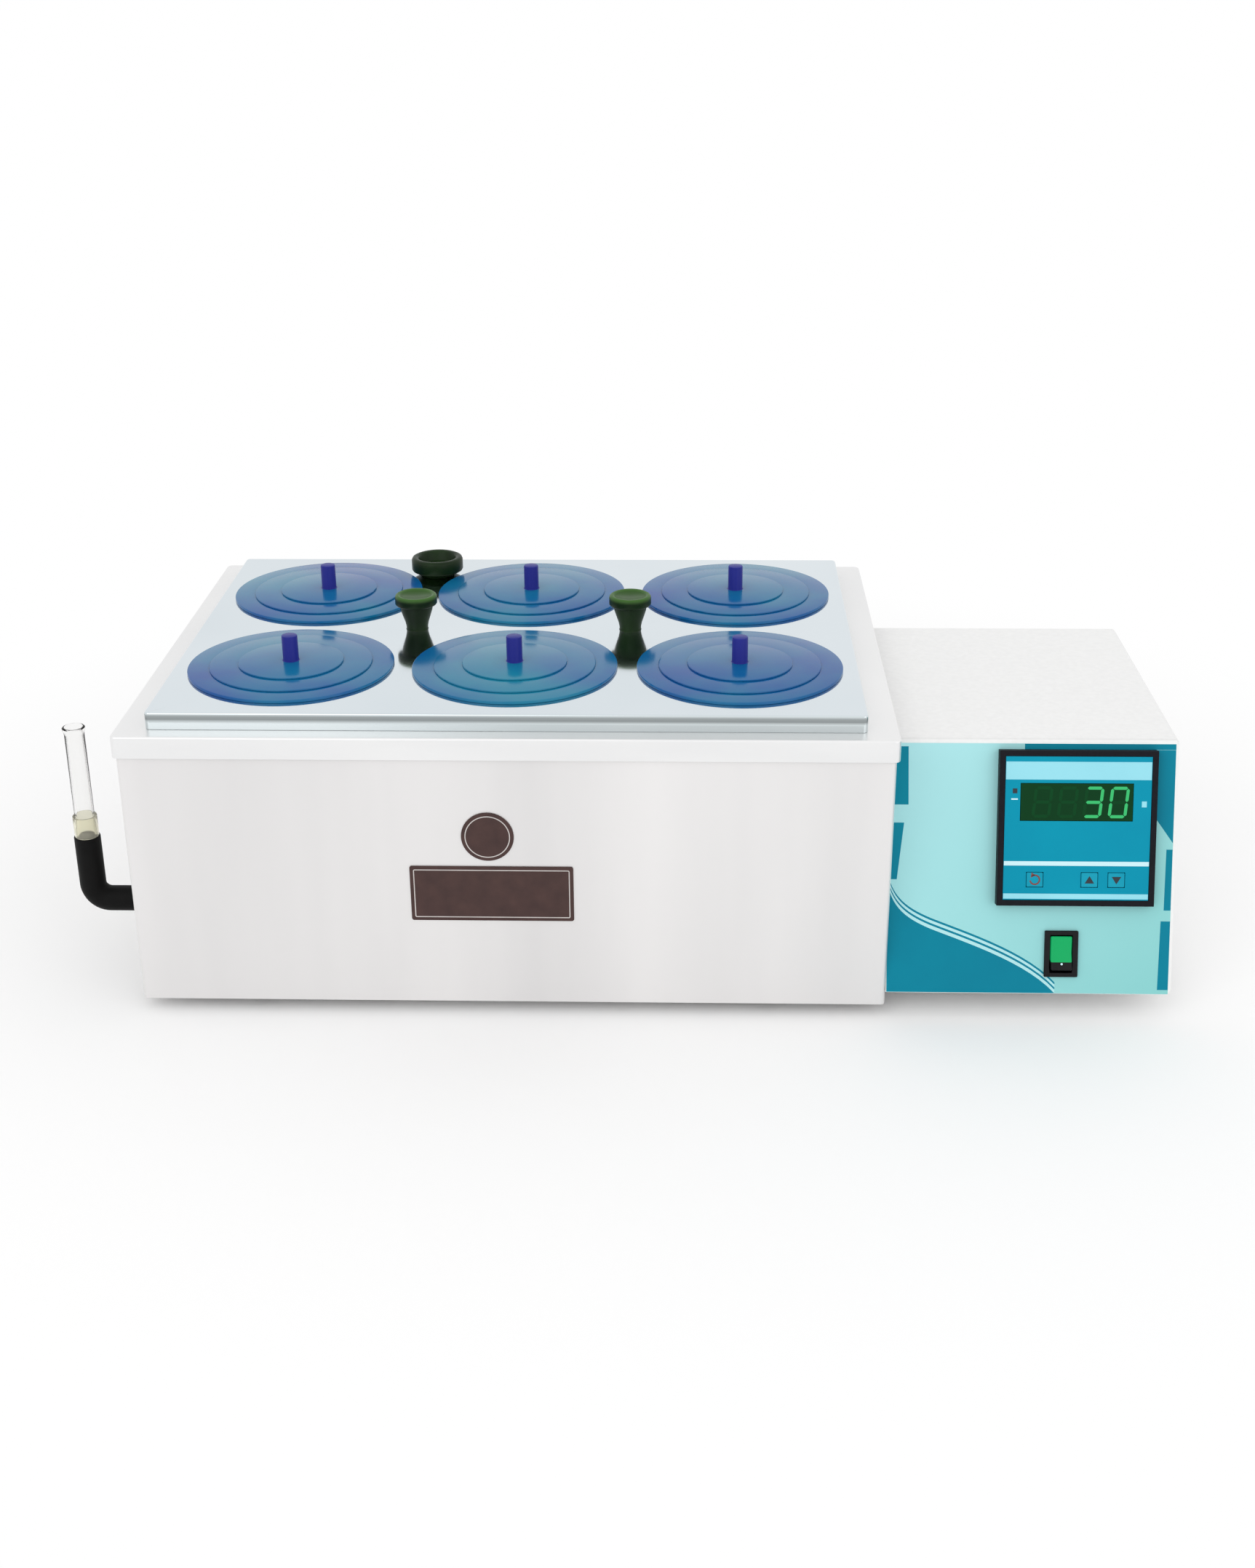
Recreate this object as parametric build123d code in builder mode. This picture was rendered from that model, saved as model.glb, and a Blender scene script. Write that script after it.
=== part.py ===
from build123d import *

import os
from math import cos, radians, sin, tan

os.makedirs("parts", exist_ok=True)

# A six-place laboratory water bath: an insulated steel tank under a lift-off cover, six sets of
# nested ring lids, a swivelling level gauge on the left and a control box on the right.
# Millimetres. The origin is on the bench, in the middle of the whole outline. +X runs to the
# control box, the front faces -Y and +Z is up.

# Sheet thicknesses and clearances
casing_sheet = 1.2
tank_sheet = 1.0
cover_sheet = 1.0
housing_sheet = 1.5
running_gap = 0.05
slide_gap = 0.3
loose_gap = 1.0

# Bath body
rim_height = 187.0
rim_skirt = 14.0
rim_corner = 4.0
rim_bevel = 0.8
casing_inset = 2.0
casing_corner = 3.0
casing_bottom = 8.0
bottom_flange = 15.0

# Cover over the tank and the ledge of the rim round it
cover_height = 11.0
cover_corner = 3.0
cover_bevel = 0.8
cover_margin_x = 9.8
cover_margin_y = 15.55
front_ledge = 12.0
back_ledge = 19.0
side_ledge = 19.0

# Tank
lip_gap = 2.0
lip_height = 7.0
tank_floor = 38.0
tank_corner = 10.0
floor_bevel = 6.0

# Ring lids
outer_ring_radius = 64.7
outer_ring_overlap = 4.7
outer_ring_land = 13.5
outer_ring_flange = 2.0
middle_ring_overlap = 4.5
middle_ring_land = 18.0
middle_ring_flange = 1.2
centre_lid_overlap = 4.5
centre_lid_flange = 1.2
lid_gap_x = 12.1
lid_gap_y = 16.1
lid_play = 0.5
spigot_drop = 4.0
lid_knob_radius = 5.0
lid_knob_height = 16.5

# Lifting knobs and thermometer cup on the cover
cover_knob_base = 7.2
cover_knob_shoulder = 11.3
cover_knob_top = 13.8
cover_knob_height = 24.0
cover_knob_brim = 7.0
cup_setback = 36.0
cup_top = 18.2
cup_wall = 5.7
cup_base = 12.0
cup_height = 13.5
cup_brim = 10.0
cup_throat = 6.5
cup_bore = 4.2
cup_stem_radius = 6.0
cup_stem_drop = 7.0
cup_nut_flats = 17.0
cup_nut_height = 3.0

# Base plate and the rubber feet
base_sheet = 1.5
foot_inset = 45.0
foot_radius = 13.0
foot_tread = 11.0

# Insulation
batt_gap = 0.4
batt_bottom = 16.0
batt_top_gap = 12.0
batt_hole_gap = 3.0

# Shelf that keeps the flasks off the heater
shelf_sheet = 1.2
shelf_height = 35.0
shelf_side_gap = 12.0
shelf_wall_gap = 11.0
shelf_foot = 40.0
shelf_border_x = 18.0
shelf_border_y = 9.0
shelf_bridge_x = 14.0
shelf_bridge_y = 16.0
shelf_slot_columns = 14
shelf_slot_rows = 3
shelf_foot_web = 8.0

# Heater and temperature probe, which come in through the right wall
heater_radius = 4.0
heater_rise = 18.0
heater_spread = 60.0
heater_end_gap = 44.0
heater_bend = 14.0
lead_reach = 22.0
probe_radius = 3.0
probe_rise = 20.0
probe_reach = 90.0
gland_wall = 3.0
gland_head = 11.0
gland_head_height = 3.0
gland_reach = 13.0
gland_nut_flats = 18.0
gland_nut_height = 5.0

# Level gauge on the left wall
gauge_setback = 50.0
gauge_rise = 16.4
nipple_radius = 5.0
nipple_bore = 3.5
nipple_reach = 16.0
nipple_head = 8.5
nipple_head_height = 2.5
nipple_nut_flats = 16.0
nipple_nut_height = 4.0
tube_standoff = 38.7
sleeve_radius = 8.25
elbow_bend = 7.0
elbow_top = 44.4
elbow_wall_gap = 3.0
elbow_passage = 4.0
glass_radius = 6.25
glass_wall = 1.6
glass_socket = 30.0
glass_length = 104.5
glass_lip_radius = 7.1
glass_lip_height = 2.0
collar_radius = 7.6
collar_height = 14.0

# Bare plates on the casing's front
plate_width = 100.0
plate_height = 37.0
plate_sheet = 0.8
plate_corner = 1.5
plate_offset = 10.0
plate_centre_height = 84.0
badge_radius = 16.0
badge_offset = 11.6
badge_centre_height = 122.4

# Control box
box_width = 176.5
box_bottom = 17.0
box_top = 168.7
box_setback = 2.0
box_rear_gap = 83.0
box_recline = 16.8
box_bevel = 2.0
front_lip_side = 3.5
front_lip_top = 3.0
front_lip_bottom = 1.5
panel_flange = 5.0
front_panel_sheet = 2.0
panel_fit = 0.2
overlay_film = 0.4
overlay_margin = 0.4
back_panel_sheet = 1.5
back_lip = 3.0
back_flange = 9.0
vent_width = 60.0
vent_height = 3.0
vent_pitch = 8.0
vent_count = 5
vent_across = 50.0
vent_up = 110.0

# Temperature controller in the front panel; across and up are measured along the panel
controller_side_gap = 7.8
controller_top_gap = 0.62
bezel_side = 96.0
bezel_height = 7.0
bezel_border = 3.5
bezel_overlap = 2.0
controller_body_play = 0.75
controller_body_depth = 75.0
faceplate_recess = 1.2
faceplate_sheet = 0.8
display_width = 68.0
display_height = 22.8
display_across = -0.8
display_margin = 16.8
display_depth = 1.3
button_width = 10.0
button_height = 9.0
button_proud = 0.5
button_thickness = 2.3
button_room = 1.0
button_margin = 8.3
button_places = {"button_set": -25.1, "button_up": 8.2, "button_down": 24.6}

# Mains rocker switch in the front panel
switch_side_gap = 51.1
switch_bezel_gap = 16.5
switch_width = 20.6
switch_length = 29.1
switch_flange = 2.0
switch_body_width = 18.2
switch_body_length = 26.4
switch_body_depth = 20.0
rocker_width = 13.0
rocker_half_length = 10.5
rocker_crest = 4.0
rocker_dip = 1.8
rocker_shoulder = 0.5
rocker_root_half_length = 4.0
rocker_root = -6.0
rocker_pivot = -1.5
rocker_tilt = 8.0
switch_window_half_length = 11.7
switch_window_depth = 8.5

# Parts inside the control box and the mains inlet in its back
terminal_width = 62.0
terminal_depth = 22.0
terminal_height = 10.0
terminal_barrier = 6.0
terminal_barriers = 7
terminal_barrier_sheet = 1.6
terminal_side_gap = 37.5
terminal_sink_gap = 38.0
sink_width = 70.0
sink_length = 62.0
sink_height = 28.0
sink_base = 5.0
sink_fins = 9
sink_fin_sheet = 1.6
sink_side_gap = 20.0
sink_inlet_gap = 10.5
relay_width = 44.5
relay_length = 58.0
relay_height = 23.0
relay_step = 8.0
relay_step_length = 12.0
relay_screw_radius = 3.5
relay_screw_height = 2.5
relay_screw_pitch_x = 25.0
inlet_side_gap = 33.0
inlet_up = 60.0
inlet_flange_width = 31.0
inlet_flange_height = 38.0
inlet_flange_sheet = 3.0
inlet_body_width = 27.0
inlet_body_height = 33.0
inlet_body_depth = 24.0
inlet_socket_width = 24.0
inlet_socket_height = 16.5
inlet_socket_chamfer = 4.0
inlet_socket_depth = 18.0
inlet_socket_drop = 6.0
inlet_pin_width = 2.0
inlet_pin_height = 4.0
inlet_pin_length = 12.0
inlet_pin_pitch = 7.0
inlet_earth_rise = 3.0
fuse_drawer_width = 22.0
fuse_drawer_height = 7.0
fuse_drawer_rise = 12.0
fuse_drawer_proud = 1.5

# Places worked out from the sizes above. The outline runs from the gauge's sleeve on the left
# to the control box on the right, and the origin is half-way between them.
hole_radius = outer_ring_radius - outer_ring_overlap
outer_ring_bore = hole_radius - outer_ring_land
middle_ring_radius = outer_ring_bore + middle_ring_overlap
middle_ring_bore = outer_ring_bore - middle_ring_land
centre_lid_radius = middle_ring_bore + centre_lid_overlap
lid_pitch_x = 2 * outer_ring_radius + lid_gap_x
lid_pitch_y = 2 * outer_ring_radius + lid_gap_y
cover_width = 2 * (lid_pitch_x + outer_ring_radius + cover_margin_x)
cover_depth = lid_pitch_y + 2 * (outer_ring_radius + cover_margin_y)
rim_width = cover_width + 2 * side_ledge
rim_depth = cover_depth + front_ledge + back_ledge
casing_width = rim_width - 2 * casing_inset
casing_depth = rim_depth - 2 * casing_inset
left_reach = casing_width / 2 + tube_standoff + sleeve_radius
right_reach = casing_width / 2 + box_width
bath_x = (left_reach - right_reach) / 2
casing_left = bath_x - casing_width / 2
casing_right = bath_x + casing_width / 2
casing_front = -casing_depth / 2
casing_top = rim_height - tank_sheet
casing_inner_width = casing_width - 2 * casing_sheet
casing_inner_depth = casing_depth - 2 * casing_sheet
front_y = -rim_depth / 2
cover_y = front_y + front_ledge + cover_depth / 2
cover_top = rim_height + cover_height
cover_under = cover_top - cover_sheet
tank_width = cover_width - 2 * (cover_sheet + lip_gap + tank_sheet)
tank_depth = cover_depth - 2 * (cover_sheet + lip_gap + tank_sheet)
tank_left = bath_x - tank_width / 2
tank_right = bath_x + tank_width / 2
tank_outer_width = tank_width + 2 * tank_sheet
tank_outer_depth = tank_depth + 2 * tank_sheet
base_under = casing_bottom + casing_sheet
base_top = base_under + base_sheet
lid_places = [
    (bath_x + column * lid_pitch_x, cover_y + row * lid_pitch_y / 2)
    for row in (-1, 1)
    for column in (-1, 0, 1)
]
cover_knob_places = [
    (bath_x - lid_pitch_x / 2, cover_y),
    (bath_x + lid_pitch_x / 2, cover_y),
]
cup_place = (bath_x - lid_pitch_x / 2, cover_y + cover_depth / 2 - cup_setback)
foot_pitch_x = rim_width - 2 * foot_inset
foot_pitch_y = rim_depth - 2 * foot_inset

# Panel plane: x runs across the control box, y up its slope and z out of it
box_left = casing_right
panel_plane = Plane(
    origin=(box_left, front_y + box_setback, box_bottom),
    x_dir=(1, 0, 0),
    z_dir=(0, -cos(radians(box_recline)), sin(radians(box_recline))),
)
slope_length = (box_top - box_bottom) / cos(radians(box_recline))


def upright_plane(x, y, z=0.0):
    """Plane facing -Y, on which a profile is drawn with x outwards and y upwards."""
    return Plane(origin=(x, y, z), x_dir=(1, 0, 0), z_dir=(0, -1, 0))


def write(piece, name):
    """Labels a finished piece and writes it as its own STEP file."""
    piece.part.label = name
    export_step(piece.part, f"parts/{name}.step")


# Outer casing: a folded wrapper with a flange turned in all round at the bottom. Its left wall
# lets the gauge nipple out, and its right wall the heater legs and the probe.
gauge_y = front_y + gauge_setback
gauge_z = tank_floor + gauge_rise
heater_z = tank_floor + heater_rise
probe_z = tank_floor + probe_rise
heater_leg_places = [(cover_y - heater_spread, heater_z), (cover_y + heater_spread, heater_z)]
probe_place = (cover_y, probe_z)


def lead_holes(wall_x):
    """Outlines of the holes for the heater legs and the probe in a side wall."""
    with BuildSketch(Plane.YZ.offset(wall_x)) as holes:
        with Locations(*heater_leg_places):
            Circle(heater_radius + loose_gap)
        with Locations(probe_place):
            Circle(probe_radius + loose_gap)
    return holes.sketch


with BuildPart() as outer_casing:
    with BuildSketch(Plane.XY.offset(casing_bottom)):
        with Locations((bath_x, 0)):
            RectangleRounded(casing_width, casing_depth, casing_corner)
    extrude(amount=casing_top - casing_bottom)
    with BuildSketch(Plane.XY.offset(base_under)):
        with Locations((bath_x, 0)):
            RectangleRounded(casing_inner_width, casing_inner_depth, casing_corner - casing_sheet)
    extrude(amount=casing_top - base_under, mode=Mode.SUBTRACT)
    with BuildSketch(Plane.XY.offset(casing_bottom)):
        with Locations((bath_x, 0)):
            Rectangle(casing_width - 2 * bottom_flange, casing_depth - 2 * bottom_flange)
    extrude(amount=casing_sheet, mode=Mode.SUBTRACT)
    with BuildSketch(Plane.YZ.offset(casing_left)):
        with Locations((gauge_y, gauge_z)):
            Circle(nipple_radius + loose_gap / 2)
    extrude(amount=casing_sheet, mode=Mode.SUBTRACT)
    extrude(lead_holes(casing_right - casing_sheet), amount=casing_sheet, mode=Mode.SUBTRACT)
write(outer_casing, "outer_casing")

# Base plate: lies on the casing's bottom flange and carries the feet
with BuildPart() as base_plate:
    with BuildSketch(Plane.XY.offset(base_under)):
        with Locations((bath_x, 0)):
            RectangleRounded(
                casing_inner_width - 2 * slide_gap,
                casing_inner_depth - 2 * slide_gap,
                casing_corner - casing_sheet,
            )
    extrude(amount=base_sheet)
write(base_plate, "base_plate")

# One rubber foot, turned about its own axis, then set at the four corners of the base plate
with BuildPart() as foot:
    with BuildSketch(upright_plane(0, 0)):
        with BuildLine():
            Polyline((0, 0), (foot_tread, 0), (foot_radius, base_under), (0, base_under), close=True)
        make_face()
    revolve(axis=Axis.Z)
with BuildPart() as rubber_feet:
    with Locations((bath_x, 0)):
        with GridLocations(foot_pitch_x, foot_pitch_y, 2, 2):
            add(foot.part)
write(rubber_feet, "rubber_feet")

# Inner tank: a welded box with bevelled floor edges, a flat rim with a turned-down skirt that
# covers the casing's top edge, and a low lip round the opening that keeps the cover in place
with BuildPart() as tank_cavity:
    with BuildSketch(Plane.XY.offset(tank_floor)):
        with Locations((bath_x, cover_y)):
            RectangleRounded(tank_width, tank_depth, tank_corner)
    extrude(amount=rim_height + lip_height - tank_floor)
    chamfer(tank_cavity.faces().sort_by(Axis.Z)[0].edges(), length=floor_bevel)

with BuildPart() as tank_rim:
    with BuildSketch(Plane.XY.offset(rim_height - rim_skirt)):
        with Locations((bath_x, 0)):
            RectangleRounded(rim_width, rim_depth, rim_corner)
    extrude(amount=rim_skirt)
    chamfer(tank_rim.faces().sort_by(Axis.Z)[-1].edges(), length=rim_bevel)

with BuildPart() as inner_tank:
    with BuildSketch(Plane.XY.offset(tank_floor - tank_sheet)):
        with Locations((bath_x, cover_y)):
            RectangleRounded(tank_outer_width, tank_outer_depth, tank_corner + tank_sheet)
    extrude(amount=rim_height + lip_height - tank_floor + tank_sheet)
    chamfer(inner_tank.faces().sort_by(Axis.Z)[0].edges(), length=floor_bevel + tank_sheet / 2)
    add(tank_rim.part)
    with BuildSketch(Plane.XY.offset(rim_height - rim_skirt)):
        with Locations((bath_x, 0)):
            RectangleRounded(
                rim_width - 2 * tank_sheet, rim_depth - 2 * tank_sheet, rim_corner - tank_sheet
            )
        with Locations((bath_x, cover_y)):
            RectangleRounded(
                tank_outer_width, tank_outer_depth, tank_corner + tank_sheet, mode=Mode.SUBTRACT
            )
    extrude(amount=rim_skirt - tank_sheet, mode=Mode.SUBTRACT)
    add(tank_cavity.part, mode=Mode.SUBTRACT)
    with BuildSketch(Plane.YZ.offset(tank_left - tank_sheet)):
        with Locations((gauge_y, gauge_z)):
            Circle(nipple_radius + running_gap)
    extrude(amount=tank_sheet, mode=Mode.SUBTRACT)
    with BuildSketch(Plane.YZ.offset(tank_right)):
        with Locations(*heater_leg_places):
            Circle(heater_radius + gland_wall + running_gap)
        with Locations(probe_place):
            Circle(probe_radius + gland_wall + running_gap)
    extrude(amount=tank_sheet, mode=Mode.SUBTRACT)
write(inner_tank, "inner_tank")

# Mineral-wool batts in the wall cavity: front, back, left and right, and one under the tank
batt_top = casing_top - batt_top_gap
front_gap = cover_y - tank_outer_depth / 2 + casing_inner_depth / 2
back_gap = casing_inner_depth / 2 - cover_y - tank_outer_depth / 2
side_gap = (casing_inner_width - tank_outer_width) / 2
with BuildPart() as insulation_batts:
    with BuildSketch(Plane.XY.offset(batt_bottom)):
        with Locations((bath_x, -casing_inner_depth / 2 + front_gap / 2)):
            Rectangle(tank_width, front_gap - 2 * batt_gap)
        with Locations((bath_x, casing_inner_depth / 2 - back_gap / 2)):
            Rectangle(tank_width, back_gap - 2 * batt_gap)
        with Locations(
            (bath_x - casing_inner_width / 2 + side_gap / 2, 0),
            (bath_x + casing_inner_width / 2 - side_gap / 2, 0),
        ):
            Rectangle(side_gap - 2 * batt_gap, casing_inner_depth - 2 * casing_corner)
    extrude(amount=batt_top - batt_bottom)
    with BuildSketch(Plane.YZ.offset(casing_left + casing_sheet)):
        with Locations((gauge_y, gauge_z)):
            Rectangle(nipple_nut_flats + 2 * batt_hole_gap, nipple_nut_flats + 2 * batt_hole_gap)
    extrude(amount=side_gap, mode=Mode.SUBTRACT)
    with BuildSketch(Plane.YZ.offset(tank_right + tank_sheet)):
        with Locations(*heater_leg_places, probe_place):
            Rectangle(gland_nut_flats + 2 * batt_hole_gap, gland_nut_flats + 2 * batt_hole_gap)
    extrude(amount=side_gap, mode=Mode.SUBTRACT)
    with BuildSketch(Plane.XY.offset(base_top)):
        with Locations((bath_x, cover_y)):
            Rectangle(tank_width - 2 * floor_bevel, tank_depth - 2 * floor_bevel)
    extrude(amount=tank_floor - tank_sheet - batt_gap - base_top)
write(insulation_batts, "insulation_batts")

# Slotted shelf over the heater
shelf_width = tank_width - 2 * shelf_side_gap
shelf_depth = tank_depth - 2 * shelf_wall_gap
shelf_under = tank_floor + shelf_height - shelf_sheet
slot_pitch_x = (shelf_width - 2 * shelf_border_x) / shelf_slot_columns
slot_pitch_y = (shelf_depth - 2 * shelf_border_y) / shelf_slot_rows
with BuildPart() as tank_shelf:
    with BuildSketch(Plane.XY.offset(shelf_under)):
        with Locations((bath_x, cover_y)):
            Rectangle(shelf_width, shelf_depth)
            with GridLocations(slot_pitch_x, slot_pitch_y, shelf_slot_columns, shelf_slot_rows):
                Rectangle(
                    slot_pitch_x - shelf_bridge_x, slot_pitch_y - shelf_bridge_y, mode=Mode.SUBTRACT
                )
    extrude(amount=shelf_sheet)
write(tank_shelf, "tank_shelf")

# The shelf's front and back sides, each a web with a foot at both ends that stands on the tank floor
leg_height = shelf_height - shelf_sheet
with BuildPart() as shelf_legs:
    for back_of_sheet in (cover_y - shelf_depth / 2 + shelf_sheet, cover_y + shelf_depth / 2):
        with BuildSketch(upright_plane(bath_x, back_of_sheet, shelf_under)):
            with Locations((0, -shelf_foot_web / 2)):
                Rectangle(shelf_width, shelf_foot_web)
            with Locations((0, -leg_height / 2)):
                with GridLocations(shelf_width - shelf_foot, 0, 2, 1):
                    Rectangle(shelf_foot, leg_height)
        extrude(amount=shelf_sheet)
write(shelf_legs, "shelf_legs")

# Tubular heater: a rectangular loop under the shelf, both legs out through the right wall
lead_end = box_left + lead_reach
loop_x = tank_left + heater_end_gap
with BuildPart() as heating_element:
    with BuildLine():
        FilletPolyline(
            (lead_end, cover_y - heater_spread, heater_z),
            (loop_x, cover_y - heater_spread, heater_z),
            (loop_x, cover_y + heater_spread, heater_z),
            (lead_end, cover_y + heater_spread, heater_z),
            radius=heater_bend,
        )
    with BuildSketch(Plane.YZ.offset(lead_end)):
        with Locations(heater_leg_places[0]):
            Circle(heater_radius)
    sweep()
write(heating_element, "heating_element")

# Stainless probe sheath with a bevelled tip
with BuildPart() as temperature_probe:
    with BuildSketch(Plane.YZ.offset(tank_right - probe_reach)):
        with Locations(probe_place):
            Circle(probe_radius)
    extrude(amount=lead_end - tank_right + probe_reach)
    chamfer(temperature_probe.faces().sort_by(Axis.X)[0].edges(), length=probe_radius / 2)
write(temperature_probe, "temperature_probe")


# Hexagon bulkhead glands through the tank's right wall and their nuts outside it
def gland(place, rod_radius):
    """A bush that holds a rod in the tank wall, with its hexagon head inside the tank."""
    with BuildPart() as bush:
        with BuildSketch(Plane.YZ.offset(tank_right)):
            with Locations(place):
                RegularPolygon(gland_head, 6)
                Circle(rod_radius + running_gap, mode=Mode.SUBTRACT)
        extrude(amount=-gland_head_height)
        with BuildSketch(Plane.YZ.offset(tank_right)):
            with Locations(place):
                Circle(rod_radius + gland_wall)
                Circle(rod_radius + running_gap, mode=Mode.SUBTRACT)
        extrude(amount=gland_reach)
    return bush.part


with BuildPart() as tank_glands:
    add(gland(heater_leg_places[0], heater_radius))
    add(gland(heater_leg_places[1], heater_radius))
    add(gland(probe_place, probe_radius))
write(tank_glands, "tank_glands")

with BuildPart() as gland_nuts:
    with BuildSketch(Plane.YZ.offset(tank_right + tank_sheet)):
        with Locations(*heater_leg_places, probe_place):
            RegularPolygon(gland_nut_flats / 2, 6, major_radius=False)
        with Locations(*heater_leg_places):
            Circle(heater_radius + gland_wall + running_gap, mode=Mode.SUBTRACT)
        with Locations(probe_place):
            Circle(probe_radius + gland_wall + running_gap, mode=Mode.SUBTRACT)
    extrude(amount=gland_nut_height)
write(gland_nuts, "gland_nuts")

# Brass nipple of the level gauge: hexagon head inside the tank, locknut outside it, spigot through
# the casing for the rubber elbow
nipple_end = casing_left - nipple_reach
with BuildPart() as outlet_nipple:
    with BuildSketch(Plane.YZ.offset(tank_left + nipple_head_height)):
        with Locations((gauge_y, gauge_z)):
            RegularPolygon(nipple_head, 6)
    extrude(amount=-nipple_head_height)
    with BuildSketch(Plane.YZ.offset(tank_left)):
        with Locations((gauge_y, gauge_z)):
            Circle(nipple_radius)
    extrude(amount=nipple_end - tank_left)
    with BuildSketch(Plane.YZ.offset(nipple_end)):
        with Locations((gauge_y, gauge_z)):
            Circle(nipple_bore)
    extrude(amount=tank_left + nipple_head_height - nipple_end, mode=Mode.SUBTRACT)
write(outlet_nipple, "outlet_nipple")

with BuildPart() as nipple_locknut:
    with BuildSketch(Plane.YZ.offset(tank_left - tank_sheet)):
        with Locations((gauge_y, gauge_z)):
            RegularPolygon(nipple_nut_flats / 2, 6, major_radius=False)
            Circle(nipple_radius + running_gap, mode=Mode.SUBTRACT)
    extrude(amount=-nipple_nut_height)
write(nipple_locknut, "nipple_locknut")

# Rubber elbow: a mitred moulding that turns on the nipple and holds the glass tube upright
tube_x = casing_left - tube_standoff
arm_end = casing_left - elbow_wall_gap
sleeve_top = gauge_z + elbow_top
with BuildPart() as level_elbow:
    with BuildLine():
        Polyline(
            (arm_end, gauge_y, gauge_z),
            (tube_x + elbow_bend, gauge_y, gauge_z),
            (tube_x, gauge_y, gauge_z + elbow_bend),
            (tube_x, gauge_y, sleeve_top),
        )
    with BuildSketch(Plane.YZ.offset(arm_end)):
        with Locations((gauge_y, gauge_z)):
            Circle(sleeve_radius)
    sweep(transition=Transition.RIGHT)
    with BuildSketch(Plane.YZ.offset(arm_end)):
        with Locations((gauge_y, gauge_z)):
            Circle(elbow_passage)
    extrude(amount=tube_x - arm_end, mode=Mode.SUBTRACT)
    with BuildSketch(Plane.XY.offset(sleeve_top)):
        with Locations((tube_x, gauge_y)):
            Circle(elbow_passage)
    extrude(amount=-elbow_top, mode=Mode.SUBTRACT)
    with BuildSketch(Plane.YZ.offset(arm_end)):
        with Locations((gauge_y, gauge_z)):
            Circle(nipple_radius + running_gap)
    extrude(amount=nipple_end - arm_end - slide_gap, mode=Mode.SUBTRACT)
    with BuildSketch(Plane.XY.offset(sleeve_top)):
        with Locations((tube_x, gauge_y)):
            Circle(glass_radius + running_gap)
    extrude(amount=-glass_socket, mode=Mode.SUBTRACT)
write(level_elbow, "level_elbow")

# Glass level tube with a flared mouth, and the clear collar that grips it above the elbow
glass_foot = sleeve_top - glass_socket
with BuildPart() as sight_glass:
    with BuildSketch(upright_plane(tube_x, gauge_y, glass_foot)):
        with BuildLine():
            Polyline(
                (glass_radius - glass_wall, 0),
                (glass_radius, 0),
                (glass_radius, glass_length - 2 * glass_lip_height),
                (glass_lip_radius, glass_length - glass_lip_height),
                (glass_lip_radius, glass_length),
                (glass_radius - glass_wall, glass_length),
                close=True,
            )
        make_face()
    revolve(axis=Axis((tube_x, gauge_y, 0), (0, 0, 1)))
write(sight_glass, "sight_glass")

with BuildPart() as gauge_collar:
    with BuildSketch(Plane.XY.offset(sleeve_top)):
        with Locations((tube_x, gauge_y)):
            Circle(collar_radius)
            Circle(glass_radius + running_gap, mode=Mode.SUBTRACT)
    extrude(amount=collar_height)
write(gauge_collar, "gauge_collar")

# Two bare plates on the casing's front: a wide one and a round one above it
with BuildPart() as name_plate:
    with BuildSketch(upright_plane(bath_x, casing_front)):
        with Locations((-plate_offset, plate_centre_height)):
            RectangleRounded(plate_width, plate_height, plate_corner)
        with Locations((-badge_offset, badge_centre_height)):
            Circle(badge_radius)
    extrude(amount=plate_sheet)
write(name_plate, "name_plate")

# Cover: a shallow inverted tray that stands on the rim, with six lid holes
with BuildPart() as top_cover:
    with BuildSketch(Plane.XY.offset(rim_height)):
        with Locations((bath_x, cover_y)):
            RectangleRounded(cover_width, cover_depth, cover_corner)
    extrude(amount=cover_height)
    chamfer(top_cover.faces().sort_by(Axis.Z)[-1].edges(), length=cover_bevel)
    with BuildSketch(Plane.XY.offset(rim_height)):
        with Locations((bath_x, cover_y)):
            RectangleRounded(
                cover_width - 2 * cover_sheet, cover_depth - 2 * cover_sheet, cover_corner - cover_sheet
            )
    extrude(amount=cover_height - cover_sheet, mode=Mode.SUBTRACT)
    with BuildSketch(Plane.XY.offset(cover_under)):
        with Locations(*lid_places):
            Circle(hole_radius)
        with Locations(cup_place):
            Circle(cup_stem_radius + running_gap)
    extrude(amount=cover_sheet, mode=Mode.SUBTRACT)
write(top_cover, "top_cover")

# Lifting knobs: turned cones that widen upwards
with BuildPart() as cover_knob:
    with BuildSketch(upright_plane(0, 0)):
        with BuildLine():
            Polyline(
                (0, 0),
                (cover_knob_base, 0),
                (cover_knob_shoulder, cover_knob_height - cover_knob_brim),
                (cover_knob_top, cover_knob_height - cover_knob_brim),
                (cover_knob_top, cover_knob_height),
                (0, cover_knob_height),
                close=True,
            )
        make_face()
    revolve(axis=Axis.Z)
with BuildPart() as cover_knobs:
    with Locations(*[(x, y, cover_top) for x, y in cover_knob_places]):
        add(cover_knob.part)
write(cover_knobs, "cover_knobs")

# Thermometer cup: an open bowl whose bore goes through the cover into the tank
with BuildPart() as thermometer_cup:
    with BuildSketch(upright_plane(cup_place[0], cup_place[1], cover_top)):
        with BuildLine():
            Polyline(
                (cup_bore, -cup_stem_drop),
                (cup_stem_radius, -cup_stem_drop),
                (cup_stem_radius, 0),
                (cup_base, 0),
                (cup_top, cup_height - cup_brim),
                (cup_top, cup_height),
                (cup_top - cup_wall, cup_height),
                (cup_top - cup_wall, cup_throat),
                (cup_bore, cup_throat),
                close=True,
            )
        make_face()
    revolve(axis=Axis((*cup_place, 0), (0, 0, 1)))
write(thermometer_cup, "thermometer_cup")

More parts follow.
